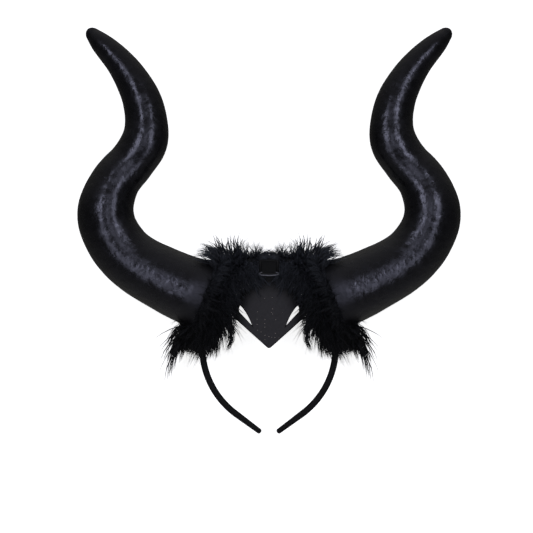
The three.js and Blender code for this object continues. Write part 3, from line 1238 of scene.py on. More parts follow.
@dataclass
class CrownLoop:
    """Coated strap folded over the band at the crown, with a glossy rolled lip on its front edge."""

    line: BandLine
    finish: GrainedFinish = COATED_STRAP
    panel_finish: GrainedFinish = BRUSHED_PANEL
    lip_finish: GrainedFinish = HIGHLIGHT_PAINTED_EDGE
    width: float = 18.4
    wall: float = 1.8
    top: float = 64.5
    front: float = 7.5
    back: float = -4.8
    front_drop: float = 17.0
    back_drop: float = 12.0
    corner: float = 3.0
    fold_steps: int = 6
    border: float = 2.4
    panel_slope: float = 0.4
    panel_depth: float = 0.5
    edge_round: float = 0.35
    lip_radius: float = 0.7
    lip_rise: float = 2.2
    lip_hook: Ramp = ((-1.0, 0.0), (-0.2, 0.2), (0.0, 0.6), (-0.3, 1.0), (-1.0, 1.1))

    def build(self) -> list[Piece]:
        """Fold the strap over the band and roll its lip.

        Returns:
            The strap, in place of the frame's loop, and its lip.
        """
        strap = self.strap()
        join_frame(strap, "crown_loop")
        lip = self.lip()
        join_frame(lip)
        return [strap, lip]

    def strap(self) -> Piece:
        """Extrude and spin the strap from its front leg over the band to its back edge.

        Returns:
            The strap with its sunk front panel.
        """
        line = self.line
        outer_front, outer_back = self.front + self.wall, self.back - self.wall
        low, high = self.top - self.front_drop, self.top + self.wall - self.corner
        clear_selection()
        bpy.ops.mesh.primitive_grid_add(x_subdivisions=8, y_subdivisions=6, size=1.0)
        piece = bpy.context.object
        piece.scale = (self.width * MM, (high - low) * MM, 1.0)
        piece.location = line.world(0, (low + high) / 2, outer_front)
        settle(piece, "loop_strap")
        edge = line.world(0, high).y - TOUCH
        across = (1, 0, 0)
        with editing(piece):
            select(piece, Element.EDGE, lambda side: all(vertex.co.y > edge for vertex in side.verts))
            spin(line.world(0, high, outer_front - self.corner), math.pi / 2, self.fold_steps, across)
            extrude(Vector((0, 0, -(outer_front - outer_back - 2 * self.corner) * MM)))
            spin(line.world(0, high, outer_back + self.corner), math.pi / 2, self.fold_steps, across)
            extrude(Vector((0, -(self.back_drop + self.wall - self.corner) * MM, 0)))
        close_seams(piece)
        self.face_out(piece)
        apply_modifier(piece, "SOLIDIFY", thickness=self.wall * MM, offset=-1.0)
        self.sink_panel(piece, line.world(0, 0, outer_front).z)
        sharp = {"limit_method": "ANGLE", "angle_limit": math.radians(40)}
        apply_modifier(piece, "BEVEL", width=self.edge_round * MM, segments=3, **sharp)
        smooth_by_angle(piece, 35)
        dress(piece, self.finish.material(), self.panel_finish.material())
        return piece

    @staticmethod
    def face_out(piece: Piece) -> None:
        """Turn the open strap's faces away from the band.

        Args:
            piece: The strap before it has its thickness.
        """
        front = max(piece.data.polygons, key=lambda face: face.center.z)
        if front.normal.z < 0:
            piece.data.flip_normals()

    def sink_panel(self, piece: Piece, height: float) -> None:
        """Sink the middle of the front leg below a raised border, and give it the second material.

        Args:
            piece: The strap.
            height: Height of the front leg's face, in metres.
        """

        def in_front(face: bmesh.types.BMFace) -> bool:
            """Say whether a face lies on the flat front leg."""
            return face.normal.z > 0.999 and abs(face.calc_center_median().z - height) < 0.1 * MM

        with editing(piece):
            select(piece, Element.FACE, in_front)
            bpy.ops.mesh.inset(thickness=self.border * MM, depth=0.0)
            bpy.ops.mesh.inset(thickness=self.panel_slope * MM, depth=-self.panel_depth * MM)
        for face in piece.data.polygons:
            face.material_index = int(face.select)

    def lip(self) -> Piece:
        """Roll the lip along the strap's front edge, hooked inwards at both corners.

        Returns:
            The lip as a closed mesh.
        """
        half = self.width / 2 - self.lip_radius
        low = self.top - self.front_drop + self.lip_radius
        height = self.front + self.wall
        form = {"bevel_depth": self.lip_radius * MM, "bevel_resolution": 5, "resolution_u": 10}
        piece = new_curve(dimensions="3D", use_fill_caps=True, **form)
        spline = piece.data.splines[0]
        right = [(half + out * self.lip_rise, up * self.lip_rise) for out, up in self.lip_hook]
        places = [(-x, rise) for x, rise in reversed(right)] + right
        spline.bezier_points.add(len(places) - len(spline.bezier_points))
        for point, (x, rise) in zip(spline.bezier_points, places):
            point.co = self.line.world(x, low + rise, height)
            point.handle_left_type = "AUTO"
            point.handle_right_type = "AUTO"
        bpy.ops.object.convert(target="MESH")
        settle(piece, "loop_lip")
        close_seams(piece)
        smooth_by_angle(piece, 50)
        # The lip's pale grey colour is a painted highlight
        dress(piece, self.lip_finish.material())
        return piece


@dataclass(frozen=True)
class PileRow:
    """Reach of the hairs at one distance from the crown, from the band's centre line, in millimetres."""

    at: float
    outward: float
    forward: float
    inward: float
    backward: float
    lean: float
    spread: float
    fullness: float


@dataclass(frozen=True)
class Patch:
    """Where a sparse coat grows: two stretches along the band, the share in the first, and the angles."""

    share: float
    first: Span
    second: Span
    angles: Span


@dataclass(frozen=True)
class Coat:
    """One coat of hairs: how many, how thick, how long, how tufted and where they grow.

    Lengths are shares of the pile's reach, and a higher rarity makes the long hairs fewer.
    """

    name: str
    seed: int
    growth: Growth
    count: int
    points: int
    radius: float
    shortest: float
    longest: float
    rarity: float
    tuft_count: int
    tufted: float
    ruffle: float
    wave: float
    collar_share: float
    crown_share: float
    patch: Patch | None = None


# Underfur that fills the trim
PILE = Coat(
    name="fur_pile", seed=11, growth=Growth.ALL_ROUND, count=12000, points=4, radius=0.36,
    shortest=0.34, longest=0.66, rarity=1.0, tuft_count=1400, tufted=0.5, ruffle=0.2, wave=0.05,
    collar_share=0.2, crown_share=0.028,
)

# Pointed locks that give the trim its surface
GUARD = Coat(
    name="fur_guard", seed=23, growth=Growth.ALL_ROUND, count=8400, points=5, radius=0.38,
    shortest=0.5, longest=1.2, rarity=2.2, tuft_count=1500, tufted=0.93, ruffle=0.12, wave=0.02,
    collar_share=0.2, crown_share=0.026,
)

# Single long hairs in the fringe over the horns' feet and in the tails
STRAY = Coat(
    name="fur_stray", seed=37, growth=Growth.OUTLINE, count=400, points=6, radius=0.55,
    shortest=1.0, longest=1.7, rarity=1.2, tuft_count=200, tufted=0.6, ruffle=0.16, wave=0.03,
    collar_share=0.28, crown_share=0.1,
    patch=Patch(0.6, (20.0, 46.0), (90.0, 106.0), (-35.0, 40.0)),
)

# Thick short hairs that close the side of the head
UNDER = Coat(
    name="fur_under", seed=53, growth=Growth.INSIDE, count=3900, points=4, radius=0.55,
    shortest=0.4, longest=0.72, rarity=1.0, tuft_count=900, tufted=0.3, ruffle=0.2, wave=0.05,
    collar_share=0.0, crown_share=0.0,
    patch=Patch(0.4, (58.0, 82.0), (9.8, 88.0), (100.0, 165.0)),
)


@dataclass
class FurTrim:
    """Deep-pile fur wound along the band on each side, over the horns' feet.

    Places along the band are distances from the crown in millimetres. Angles round the band are in degrees,
    from 0 away from the head to 90 in front.
    """

    line: BandLine
    horns: Horns
    peak: ForeheadPeak
    finish: DeepPileFur = DeepPileFur()
    backing_finish: GrainedFinish = KNITTED_BACKING
    coats: tuple[Coat, ...] = (PILE, GUARD, STRAY, UNDER)
    start: float = 9.8
    end: float = 106.0
    backing_radii: Span = (7.0, 5.6)
    root_radius: float = 5.8
    spare: float = 1.7

    # Where the sleeve's hairs crowd, by a lot from 0 to 1 for each hair
    sleeve_angles: Span = (-125.0, 160.0)
    tail_below: float = 0.27
    tail_from: float = 86.0
    bridge_below: float = 0.42
    bridge: Span = (11.0, 86.0)
    bridge_angles: Span = (105.0, 160.0)
    crown_above: float = 0.88
    crown_until: float = 40.0
    thin_until: float = 22.5
    thin_angle: float = 75.0
    crown_thinned: float = 0.8
    inner_share: float = 0.26
    inner_angles: Span = (95.0, 165.0)

    # How the sleeve's hairs lie
    inner_fullness: float = 1.15
    inner_pointed: float = 0.5
    spread_stray: float = 0.3
    lean_stray: float = 0.32
    steadier: Ramp = ((80.0, 1.0), (100.0, 0.5))
    hanging: Ramp = ((80.0, 0.6), (95.0, 1.1))
    to_crown: Ramp = ((10.0, 0.4), (28.0, 0.0))
    in_fringe: Ramp = ((14.0, 0.0), (26.0, 1.0), (58.0, 1.0), (68.0, 0.0))
    fringe_cut: float = 0.24
    rows: tuple[PileRow, ...] = (
        PileRow(11, 11, 16, 26, 14, -0.2, -0.5, 0.8),
        PileRow(17, 14, 20, 26, 16, -0.2, -0.45, 0.8),
        PileRow(23, 27, 25, 26, 20, -0.2, -0.35, 0.85),
        PileRow(29, 30, 29, 26, 22, -0.1, -0.2, 0.95),
        PileRow(41, 29, 33, 28, 22, 0.1, 0.0, 1.0),
        PileRow(54, 29, 37, 31, 22, 0.25, 0.0, 1.0),
        PileRow(67, 32, 38, 36, 22, 0.25, -0.1, 1.05),
        PileRow(80, 29, 38, 46, 22, 0.6, 0.1, 1.1),
        PileRow(92, 30, 36, 33, 26, 0.9, 0.5, 1.15),
        PileRow(106, 37, 38, 21, 34, 1.5, 0.85, 1.15),
    )

    # Wisps over the crown, some of which cross to the other side
    crown_from: float = 2.0
    crown_half_width: float = 27.0
    crown_drift: float = 14.0
    crown_angles: Span = (-60.0, 70.0)
    crown_height: Span = (70.0, 85.0)
    crown_depth: float = 4.0
    crossing_share: float = 0.62
    crossing_end: Span = (-6.8, -1.0)
    crossing_height: Span = (62.5, 72.0)

    # Collar round the rim of the horn's foot, by degrees from its upper side, and by radians where it hangs
    collar_turns: Span = (-35.0, 215.0)
    collar_top: Span = (-25.0, 38.0)
    collar_run: Span = (-1.5, 2.5)
    collar_wide_past: float = 140.0
    collar_widened: float = 0.9
    collar_sunk: float = 0.4
    collar_rise: float = 0.45
    collar_lean: Span = (-0.3, 0.3)
    collar_reach: float = 19.0
    fan_before: float = 40.0
    fan: Span = (0.2, 1.6)
    fan_long: float = 1.6
    fan_short: float = 0.6
    hang_from: float = 2.2
    hang_over: float = 0.9
    hang_lean: float = 0.3
    hang_drop: float = 0.5
    hang_reach: float = 7.0

    # Lock that hangs beside the peak's corner
    lock_count: int = 44
    lock_rooted: Span = (76.0, 84.0)
    lock_angles: Span = (110.0, 150.0)
    lock_bend: Place = (24.0, 4.0, 47.0)
    lock_bend_stray: float = 2.4
    lock_tip: Place = (38.5, -21.0, 44.0)
    lock_tip_stray: float = 1.1

    # Tufts, which gather neighbours; the far spots keep the beds' tufts apart
    spot_per_degree: float = 0.16
    collar_spot: float = 1000.0
    collar_spot_per_degree: float = 0.5
    crown_spot: float = 2000.0
    tail_tufts: Span = (88.0, 107.0)
    tail_tuft_weight: float = 0.4
    tuft_pull: Span = (0.6, 1.08)

    # Form of each hair, its random tone, and the painted light that makes hairs rooted near the crown paler
    bend_share: float = 0.5
    wave_turns: float = 1.6
    taper: float = 2.6
    thickness: Span = (0.75, 1.2)
    paleness: Span = (0.2, 1.0)
    # Painted light: hairs rooted higher towards the crown get paler tips
    paler_up: Ramp = ((0.0, 0.1), (30.0, 0.3), (60.0, 1.0))
    finer_at_crown: Ramp = ((17.0, 0.55), (24.0, 1.0))

    # What the hairs keep clear of: the floor, the horn, the peak, the loop and the head
    floor_gap: float = 1.6
    ceiling: float = 74.0
    soft_ceiling: float = 64.0
    softness: float = 1.4
    deepest: float = 9.0
    furthest_move: float = 12.0
    past_middle: float = 7.0
    peak_beside: float = 1.0
    peak_above: float = 2.0
    peak_slope: float = 0.89
    peak_behind: float = 3.0
    peak_gap: float = 0.7
    loop_half_width: float = 9.6
    tab_low: float = 46.3
    tab_clear_below: float = 62.0
    loop_high: float = 67.0
    loop_front: float = 43.0
    head_out: float = 43.5
    head_up: float = 29.0
    head_front: float = 40.5

    def build(self, band: Piece, horn: Piece) -> list[Piece]:
        """Make the backing and the four coats of the right trim, and mirror them.

        Args:
            band: The hair band.
            horn: The right horn.

        Returns:
            All the pieces of both trims, in place of the frame's trims.
        """
        fur = self.finish.material()
        backing = self.backing(band, horn)
        dress(backing, self.backing_finish.material())
        right = [backing] + [self.coat(coat) for coat in self.coats]
        for piece in right[1:]:
            dress(piece, fur)
        pieces = []
        for piece in right:
            stem = piece.name.removesuffix("_right")
            pair = {Side.RIGHT: piece, Side.LEFT: mirrored(piece, f"{stem}_left")}
            for side, one in pair.items():
                join_frame(one, f"fur_{side.word}" if stem == self.coats[0].name else None)
            pieces += pair.values()
        return pieces

    def backing(self, band: Piece, horn: Piece) -> Piece:
        """Spin the knitted sleeve that carries the hairs, cut clear of the band and the horn.

        Args:
            band: The hair band.
            horn: The right horn.

        Returns:
            The sleeve of the right trim.
        """
        line = self.line
        begin = self.start / line.arch_radius
        centre = line.world(line.arch_radius * math.sin(begin), line.arch_radius * math.cos(begin))
        clear_selection()
        bpy.ops.mesh.primitive_circle_add(vertices=16, radius=1.0, location=centre)
        piece = bpy.context.object
        piece.rotation_euler = (0, math.pi / 2, -begin)
        piece.scale = (self.backing_radii[0] * MM, self.backing_radii[1] * MM, 1.0)
        settle(piece, "fur_backing_right")
        with editing(piece):
            bpy.ops.mesh.select_all(action="SELECT")
            bpy.ops.mesh.edge_face_add()
            spin(line.origin, math.pi / 2 - begin, steps=20)
            extrude(Vector((0, -(self.end - line.quarter) * MM, 0)))
        close_seams(piece)
        cut(piece, band)
        cut(piece, horn)
        smooth_by_angle(piece, 40)
        return piece

    def coat(self, coat: Coat) -> Piece:
        """Grow one coat of hairs on the right side.

        Args:
            coat: What the hairs are like.

        Returns:
            The hairs as one mesh of slim closed spikes.
        """
        chance = np.random.default_rng(coat.seed)
        roots, tips, bends = self.hairs(coat, chance)
        if coat.growth is Growth.OUTLINE:
            lock = slice(self.lock_count)
            roots[lock], tips[lock], bends[lock] = self.hanging_lock(chance)
        share = np.linspace(0.0, 1.0, coat.points)
        t = share[None, :, None]
        paths = (1 - t) ** 2 * roots[:, None] + 2 * t * (1 - t) * bends[:, None] + t * t * tips[:, None]
        length = np.linalg.norm(tips - roots, axis=1)
        wave = chance.normal(0.0, coat.wave, (len(paths), 1, 3)) * length[:, None, None]
        paths = paths + wave * np.sin(t * math.pi * self.wave_turns) * t
        paths, kept = self.keep_clear(paths)
        paths = paths[kept][: coat.count]
        thickness = chance.uniform(*self.thickness, (len(paths), 1))
        radius = coat.radius * (1 - share**self.taper)[None, :] * thickness
        finer = ramp(paths[:, -1, 0], self.finer_at_crown)
        radius *= np.where(paths[:, -1, 1] > self.tab_clear_below, finer, 1.0)[:, None]
        # Random tone per hair, times painted light that pales the hairs rooted near the crown
        shade = chance.uniform(*self.paleness, len(paths)) * ramp(paths[:, 0, 1], self.paler_up)
        places = paths * MM + np.array([self.line.origin.x, self.line.origin.y, 0.0])
        piece = spikes(f"{coat.name}_right", places, radius * MM, shade, chance)
        log.info("%s keeps %d of %d hairs", piece.name, len(paths), coat.count)
        return piece

    def hairs(self, coat: Coat, chance: np.random.Generator) -> Trio:
        """Place the roots, tips and bends of a coat's hairs.

        Args:
            coat: What the hairs are like.
            chance: Seeded source of chance.

        Returns:
            Roots, tips and bends, in millimetres from the arch's centre and above the floor.
        """
        count = int(coat.count * self.spare)
        on_collar = int(count * coat.collar_share)
        on_crown = int(count * coat.crown_share)
        beds = zip(
            self.sleeve_bed(coat, count - on_collar - on_crown, chance),
            self.collar_bed(coat, on_collar, chance),
            self.crown_bed(coat, on_crown, chance),
        )
        order = chance.permutation(count)
        roots, around, heading, reach, spot, pointed = (np.concatenate(pair)[order] for pair in beds)
        heading += chance.normal(0.0, coat.ruffle, heading.shape)
        heading /= np.linalg.norm(heading, axis=1)[:, None]
        longer = chance.random(count) ** coat.rarity
        length = reach * (coat.shortest + (coat.longest - coat.shortest) * longer)
        tips = roots + heading * length[:, None]
        in_tail = (spot[:, 0] > self.tail_tufts[0]) & (spot[:, 0] < self.tail_tufts[1])
        weight = np.where(in_tail, self.tail_tuft_weight, 1.0)
        leaders = chance.choice(count, coat.tuft_count, replace=False, p=weight / weight.sum())
        leader = self.tufts(spot, leaders)
        pull = coat.tufted * (pointed * chance.uniform(*self.tuft_pull, count))[:, None]
        tips = tips + (tips[leader] - tips) * np.minimum(pull, 1.0)
        bends = roots + around * (self.bend_share * length)[:, None]
        return roots, tips, bends

    def rooted(self, at: np.ndarray, angle: np.ndarray) -> Bed:
        """Find where hairs root on the sleeve.

        Args:
            at: Distances from the crown in millimetres.
            angle: Angles round the band in radians.

        Returns:
            Roots above the floor, outward normals, directions along the band and directions from the head.
        """
        centre, along, outward = self.line.near_crown(at)
        around = outward * np.cos(angle)[:, None] + UP * np.sin(angle)[:, None]
        return centre + around * self.root_radius + UP * self.line.origin.z / MM, around, along, outward

    def hanging_lock(self, chance: np.random.Generator) -> Trio:
        """Gather hairs into the curved lock that hangs beside the peak's corner.

        Args:
            chance: Seeded source of chance.

        Returns:
            Roots, tips and bends, in millimetres from the arch's centre and above the floor.
        """
        at = chance.uniform(*self.lock_rooted, self.lock_count)
        roots = self.rooted(at, np.radians(chance.uniform(*self.lock_angles, self.lock_count)))[0]
        bends = np.array(self.lock_bend) + chance.normal(0.0, self.lock_bend_stray, roots.shape)
        tips = np.array(self.lock_tip) + chance.normal(0.0, self.lock_tip_stray, roots.shape)
        return roots, tips, bends

    @staticmethod
    def tufts(spot: np.ndarray, leaders: np.ndarray) -> np.ndarray:
        """Find the leader of the tuft that each hair belongs to.

        Args:
            spot: Place of each hair on the pile, as rows of two numbers in millimetres.
            leaders: Numbers of the hairs that lead a tuft.

        Returns:
            Number of each hair's leader.
        """
        tree = KDTree(len(leaders))
        for leader in leaders:
            tree.insert((*spot[leader], 0.0), int(leader))
        tree.balance()
        return np.array([tree.find((*place, 0.0))[1] for place in spot])

    def column(self, name: str, at: np.ndarray) -> np.ndarray:
        """Read one column of the pile's rows at every distance from the crown."""
        return ramp(at, tuple((row.at, getattr(row, name)) for row in self.rows))

    def sleeve_bed(self, coat: Coat, count: int, chance: np.random.Generator) -> Bed:
        """Root hairs all round the sleeve on the band, except where the head goes.

        Args:
            coat: What the hairs are like.
            count: Number of hairs.
            chance: Seeded source of chance.

        Returns:
            Roots, outward normals, headings, full lengths, spots for tufting and how pointed the tufts are.
        """
        all_round = coat.growth is Growth.ALL_ROUND
        at = chance.uniform(self.start, self.end, count)
        lot = chance.random(count)
        at = np.where(lot < self.tail_below, chance.uniform(self.tail_from, self.end, count), at)
        at = np.where(lot > self.crown_above, chance.uniform(self.start, self.crown_until, count), at)
        angle = chance.uniform(*self.sleeve_angles, count)
        bridging = (lot > self.tail_below) & (lot < self.bridge_below)
        at = np.where(bridging, chance.uniform(*self.bridge, count), at)
        angle = np.where(bridging, chance.uniform(*self.bridge_angles, count), angle)
        if coat.patch:
            first = chance.uniform(*coat.patch.first, count)
            at = np.where(lot < coat.patch.share, first, chance.uniform(*coat.patch.second, count))
            angle = chance.uniform(*coat.patch.angles, count)
        on_top = (at < self.thin_until) & (np.abs(angle) < self.thin_angle)
        moved_in = on_top & (chance.random(count) < self.crown_thinned)
        moved_in |= chance.random(count) < self.inner_share * all_round
        angle = np.radians(np.where(moved_in, chance.uniform(*self.inner_angles, count), angle))
        roots, around, along, outward = self.rooted(at, angle)
        sine, cosine = np.sin(angle), np.cos(angle)
        inner = cosine < 0
        beside = np.where(cosine > 0, self.column("outward", at), self.column("inward", at))
        ahead = np.where(sine > 0, self.column("forward", at), self.column("backward", at))
        reach = ahead + (beside - ahead) * cosine**2 - self.root_radius
        stray = chance.normal(0.0, self.spread_stray, count)
        spread = (self.column("spread", at) + stray) * np.maximum(sine, 0.0)
        stray = chance.normal(0.0, self.lean_stray, count)
        lean = self.column("lean", at) + stray * ramp(at, self.steadier)
        hung = ramp(at, self.hanging) * np.maximum(lean, 0.0) - ramp(at, self.to_crown)
        lean = np.where(inner, hung, lean)
        heading = around + along * lean[:, None] + outward * spread[:, None]
        reach = reach * np.where(inner, self.inner_fullness, self.column("fullness", at))
        if all_round:
            reach = reach * (1 - self.fringe_cut * ramp(at, self.in_fringe) * np.maximum(cosine, 0.0))
        pointed = np.where(inner, self.inner_pointed, 1.0)
        spot = np.stack([at, np.degrees(angle) * self.spot_per_degree], axis=1)
        return roots, around, heading, reach, spot, pointed

    def crown_bed(self, coat: Coat, count: int, chance: np.random.Generator) -> Bed:
        """Root thin wisps along the crown that cross each other over its top.

        Args:
            coat: What the hairs are like.
            count: Number of hairs.
            chance: Seeded source of chance.

        Returns:
            Roots, outward normals, headings, full lengths, spots for tufting and how pointed the tufts are.
        """
        crossing = chance.random(count) < self.crossing_share
        across = chance.uniform(self.crown_from, self.crown_half_width, count)
        across = np.where(crossing, chance.uniform(*self.crossing_end, count), across)
        drift = chance.uniform(-self.crown_drift, self.crown_drift, count)
        at = np.clip(np.abs(across) + drift, self.start, self.crown_half_width)
        angle = np.radians(chance.uniform(*self.crown_angles, count))
        roots = self.rooted(at, angle)[0]
        height = chance.uniform(*self.crown_height, count)
        rise = np.where(crossing, chance.uniform(*self.crossing_height, count), height) - roots[:, 1]
        depth = chance.normal(0.0, self.crown_depth, count)
        heading = np.stack([across - roots[:, 0], rise, depth], axis=1)
        length = np.linalg.norm(heading, axis=1)
        heading /= length[:, None]
        spot = np.stack([self.crown_spot + at, np.degrees(angle) * self.spot_per_degree], axis=1)
        return roots, heading, heading, length / coat.longest, spot, np.zeros(count)

    def collar_bed(self, coat: Coat, count: int, chance: np.random.Generator) -> Bed:
        """Root hairs in a collar round the rim of the horn's foot.

        Args:
            coat: What the hairs are like.
            count: Number of hairs.
            chance: Seeded source of chance.

        Returns:
            Roots, outward normals, headings, full lengths, spots for tufting and how pointed the tufts are.
        """
        long_hairs = coat.growth is Growth.OUTLINE
        base, axis = self.horns.foot()
        turn = chance.uniform(*self.collar_turns, count)
        if long_hairs:
            turn = chance.uniform(*self.collar_top, count)
        turn = np.radians(turn)
        beside = np.array([-axis[1], axis[0], 0.0]) / math.hypot(axis[0], axis[1])
        around = beside * np.cos(turn)[:, None] + np.cross(axis, beside) * np.sin(turn)[:, None]
        widened = 1 + self.collar_widened * (turn > math.radians(self.collar_wide_past))
        run = chance.uniform(*self.collar_run, count) * widened
        roots = base + axis * run[:, None] + around * (self.horns.sections[0].radius - self.collar_sunk)
        fan = np.where(turn < math.radians(self.fan_before), chance.uniform(*self.fan, count), 0.0)
        fan = fan * (self.fan_long if long_hairs else self.fan_short)
        lean = chance.normal(*self.collar_lean, count) + fan
        low = np.clip((turn - self.hang_from) / self.hang_over, 0.0, 1.0)
        heading = around * self.collar_rise + axis * (lean + self.hang_lean * low)[:, None]
        heading[:, 1] -= self.hang_drop * low
        reach = np.full(count, self.collar_reach) + self.hang_reach * low
        spot = np.stack([self.collar_spot + run, np.degrees(turn) * self.collar_spot_per_degree], axis=1)
        return roots, around, heading, reach, spot, np.ones(count)

    def keep_clear(self, paths: np.ndarray) -> tuple[np.ndarray, np.ndarray]:
        """Move hairs off the floor, the horn, the peak and the loop, and drop those that can't be.

        Args:
            paths: Points of each hair, in millimetres from the arch's centre and above the floor.

        Returns:
            The moved points, and which hairs to keep.
        """
        count, points, _ = paths.shape
        peak = self.peak
        flat, depth = self.horns.push_out(paths.reshape(-1, 3))
        kept = (depth.reshape(count, points)[:, 1:] < self.deepest).all(axis=1)
        x, y, z = flat.T
        front = peak.front(x, y) + self.line.origin.z / MM
        over_peak = (x < peak.shoulder_out + self.peak_beside) & (y < peak.neck_end + self.peak_above)
        over_peak &= y > peak.tip_up + self.peak_slope * x
        over_peak &= z > front - peak.wall - self.peak_behind
        z = np.where(over_peak, np.maximum(z, front + self.peak_gap), z)
        over_loop = (x < self.loop_half_width) & (y > self.tab_low) & (y < self.loop_high)
        on_tab = over_loop & (y < self.tab_clear_below)
        flat[:, 0] = np.where(on_tab, self.loop_half_width, x)
        z = np.where(over_loop & ~on_tab, np.maximum(z, self.loop_front), z)
        over_head = (x < self.head_out) & (y < self.head_up)
        z = np.where(over_head, np.maximum(z, self.head_front), z)
        squeeze = self.ceiling - self.soft_ceiling
        over = np.tanh((z - self.soft_ceiling) / (self.softness * squeeze))
        z = np.where(z > self.soft_ceiling, self.soft_ceiling + squeeze * over, z)
        flat[:, 2] = np.maximum(z, self.floor_gap)
        moved = flat.reshape(count, points, 3)
        kept &= np.abs(moved - paths).max(axis=(1, 2)) < self.furthest_move
        kept &= (moved[:, :, 0] > -self.past_middle).all(axis=1)
        return moved, kept


def spikes(
    name: str, paths: np.ndarray, radius: np.ndarray, shade: np.ndarray, chance: np.random.Generator
) -> Piece:
    """Make one mesh of many slim three-sided spikes.

    Args:
        name: Name of the piece.
        paths: Points of each spike from root to tip, in metres.
        radius: Radius at each point, in metres.
        shade: How pale the tip of each spike is, from 0 to 1: a random tone times painted light near the
            crown.
        chance: Seeded source of chance for the turn of each spike.

    Returns:
        The spikes, with how far along each vertex lies and the tone and painted light of its hair as
        attributes.
    """
    count, points, _ = paths.shape
    rings = points - 1
    tangent = np.gradient(paths, axis=1)
    tangent /= np.linalg.norm(tangent, axis=2, keepdims=True)
    side = np.cross(tangent, chance.normal(size=(count, 1, 3)))
    side /= np.linalg.norm(side, axis=2, keepdims=True)
    other = np.cross(tangent, side)
    turns = np.radians([0.0, 120.0, 240.0])[None, None, :, None]
    spoke = side[:, :-1, None] * np.cos(turns) + other[:, :-1, None] * np.sin(turns)
    walls = paths[:, :-1, None] + spoke * radius[:, :-1, None, None]
    vertices = np.concatenate([walls.reshape(count, rings * 3, 3), paths[:, -1:]], axis=1)

    faces = [(2, 1, 0)]
    for ring in range(rings):
        for corner in range(3):
            here, beside = ring * 3 + corner, ring * 3 + (corner + 1) % 3
            if ring == rings - 1:
                faces.append((here, beside, rings * 3))
            else:
                faces.append((here, beside, beside + 3))
                faces.append((here, beside + 3, here + 3))
    step = rings * 3 + 1
    triangles = (np.array(faces)[None] + (np.arange(count) * step)[:, None, None]).reshape(-1, 3)

    mesh = bpy.data.meshes.new(name)
    mesh.vertices.add(count * step)
    mesh.vertices.foreach_set("co", vertices.reshape(-1))
    mesh.loops.add(triangles.size)
    mesh.loops.foreach_set("vertex_index", triangles.reshape(-1).astype(np.int32))
    mesh.polygons.add(len(triangles))
    mesh.polygons.foreach_set("loop_start", np.arange(0, triangles.size, 3, dtype=np.int32))
    mesh.polygons.foreach_set("use_smooth", np.ones(len(triangles), dtype=bool))
    mesh.update(calc_edges=True)
    heights = np.append(np.repeat(np.linspace(0.0, 1.0, points)[:-1], 3), 1.0)
    marks = {"along": np.tile(heights, count), "shade": np.repeat(shade, step)}
    for mark, values in marks.items():
        attribute = mesh.attributes.new(mark, "FLOAT", "POINT")
        attribute.data.foreach_set("value", values.astype(np.float32))
    piece = bpy.data.objects.new(name, mesh)
    bpy.context.collection.objects.link(piece)
    return piece


@dataclass(frozen=True)
class Softbox:
    """Soft light: its place from the arch's centre and above the floor, its size in millimetres and power."""

    name: str
    place: Place
    size: Span
    power: float


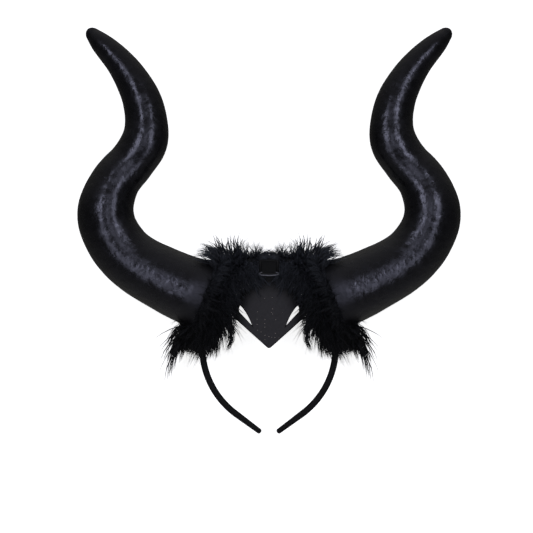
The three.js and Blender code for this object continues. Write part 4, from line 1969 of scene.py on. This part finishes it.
@dataclass
class Studio:
    """Camera straight above the headband, soft lights and a pale floor."""

    line: BandLine
    floor_finish: GrainedFinish = WHITE_PAPER
    frame_pixels: int = 533
    pixel: float = 0.92
    lens: float = 300.0
    sensor: float = 36.0
    true_height: float = 22.0
    farthest_seen: float = 20.0
    floor_size: float = 12.0
    centre: Span = (-2.3, 56.1)
    room_colour: str = "#fbfaf3"
    room_sides: float = 0.06
    room_ends: float = 0.38
    light_colour: str = "#f2f4ff"
    boxes: tuple[Softbox, ...] = (
        Softbox("softbox_left", (-540, 460, 1050), (230, 620), 2.95),
        Softbox("softbox_right", (540, 460, 1050), (230, 620), 2.95),
        Softbox("softbox_low_left", (-540, -140, 1050), (230, 580), 1.25),
        Softbox("softbox_low_right", (540, -140, 1050), (230, 580), 1.25),
        Softbox("softbox_top", (0, 340, 1050), (230, 440), 0.7),
    )

    def build(self) -> None:
        """Set up the floor, the lights, the surroundings and the camera."""
        self.floor()
        self.lights()
        self.surroundings()
        self.camera()

    def camera(self) -> None:
        """Place the camera so that one pixel spans the photograph's share of a millimetre."""
        data = bpy.data.cameras.new("camera")
        data.lens = self.lens
        data.sensor_width = self.sensor
        data.clip_end = self.farthest_seen
        span = self.frame_pixels * self.pixel
        eye = bpy.data.objects.new("camera", data)
        eye.location = self.line.world(*self.centre)
        eye.location.z = (self.true_height + span * self.lens / self.sensor) * MM
        bpy.context.collection.objects.link(eye)
        bpy.context.scene.camera = eye

    def lights(self) -> None:
        """Hang a bright and a weak softbox on each side of the camera, and one more between them."""
        for box in self.boxes:
            data = bpy.data.lights.new(box.name, "AREA")
            data.shape = "RECTANGLE"
            data.size, data.size_y = box.size[0] * MM, box.size[1] * MM
            data.energy = box.power
            data.color = linear(self.light_colour)[:3]
            light = bpy.data.objects.new(box.name, data)
            x, y, z = box.place
            light.location = self.line.world(x, y)
            light.location.z = z * MM
            light.rotation_euler = (0.0, math.atan2(x, z), 0.0)
            light.visible_camera = False
            bpy.context.collection.objects.link(light)

    def surroundings(self) -> None:
        """Give the room a dim light, brighter past both ends of the headband, and keep plain colours."""
        world = bpy.data.worlds.new("room")
        world.use_nodes = True
        tree = world.node_tree
        back = tree.nodes["Background"]
        outlook = add_node(tree, "TexCoord", out="Generated")
        way = add_node(tree, "SeparateXYZ", {"Vector": outlook}, "Y")
        lengthwise = add_node(tree, "Math", {0: way, 1: way}, operation="MULTIPLY")
        strengths = {"To Min": self.room_sides, "To Max": self.room_ends}
        level = add_node(tree, "MapRange", {"Value": lengthwise} | strengths)
        tree.links.new(level, back.inputs["Strength"])
        back.inputs["Color"].default_value = linear(self.room_colour)
        scene = bpy.context.scene
        scene.world = world
        scene.view_settings.view_transform = "Standard"

    def floor(self) -> None:
        """Lay the floor under the headband."""
        clear_selection()
        bpy.ops.mesh.primitive_plane_add(size=self.floor_size)
        piece = bpy.context.object
        settle(piece, "floor")
        piece.visible_glossy = False
        dress(piece, self.floor_finish.material())


def main() -> None:
    """Build the headband's pieces in order and report each one."""
    logging.basicConfig(level=logging.INFO, format="%(name)s: %(message)s")
    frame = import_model()
    loop_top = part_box("crown_loop")[1]
    band_low, band_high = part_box("hair_band")
    loop_rise = CrownLoop.top + CrownLoop.wall
    centre = Vector((0.0, loop_top.y - loop_rise * MM, (band_low.z + band_high.z) / 2))
    line = BandLine(centre)
    log.info("the frame has %d nodes", len(frame["nodes"]))

    Studio(line).build()
    band = HairBand(line).build()
    log.info("built %s", band.name)
    horns = Horns(line)
    horn_pieces = horns.build(band)
    for horn in horn_pieces.values():
        log.info("built %s", horn.name)
    peak = ForeheadPeak(line)
    log.info("built %s", peak.build().name)
    for piece in FurTrim(line, horns, peak).build(band, horn_pieces[Side.RIGHT]):
        log.info("built %s", piece.name)
    for piece in CrownLoop(line).build():
        log.info("built %s", piece.name)


if __name__ == "__main__":
    main()
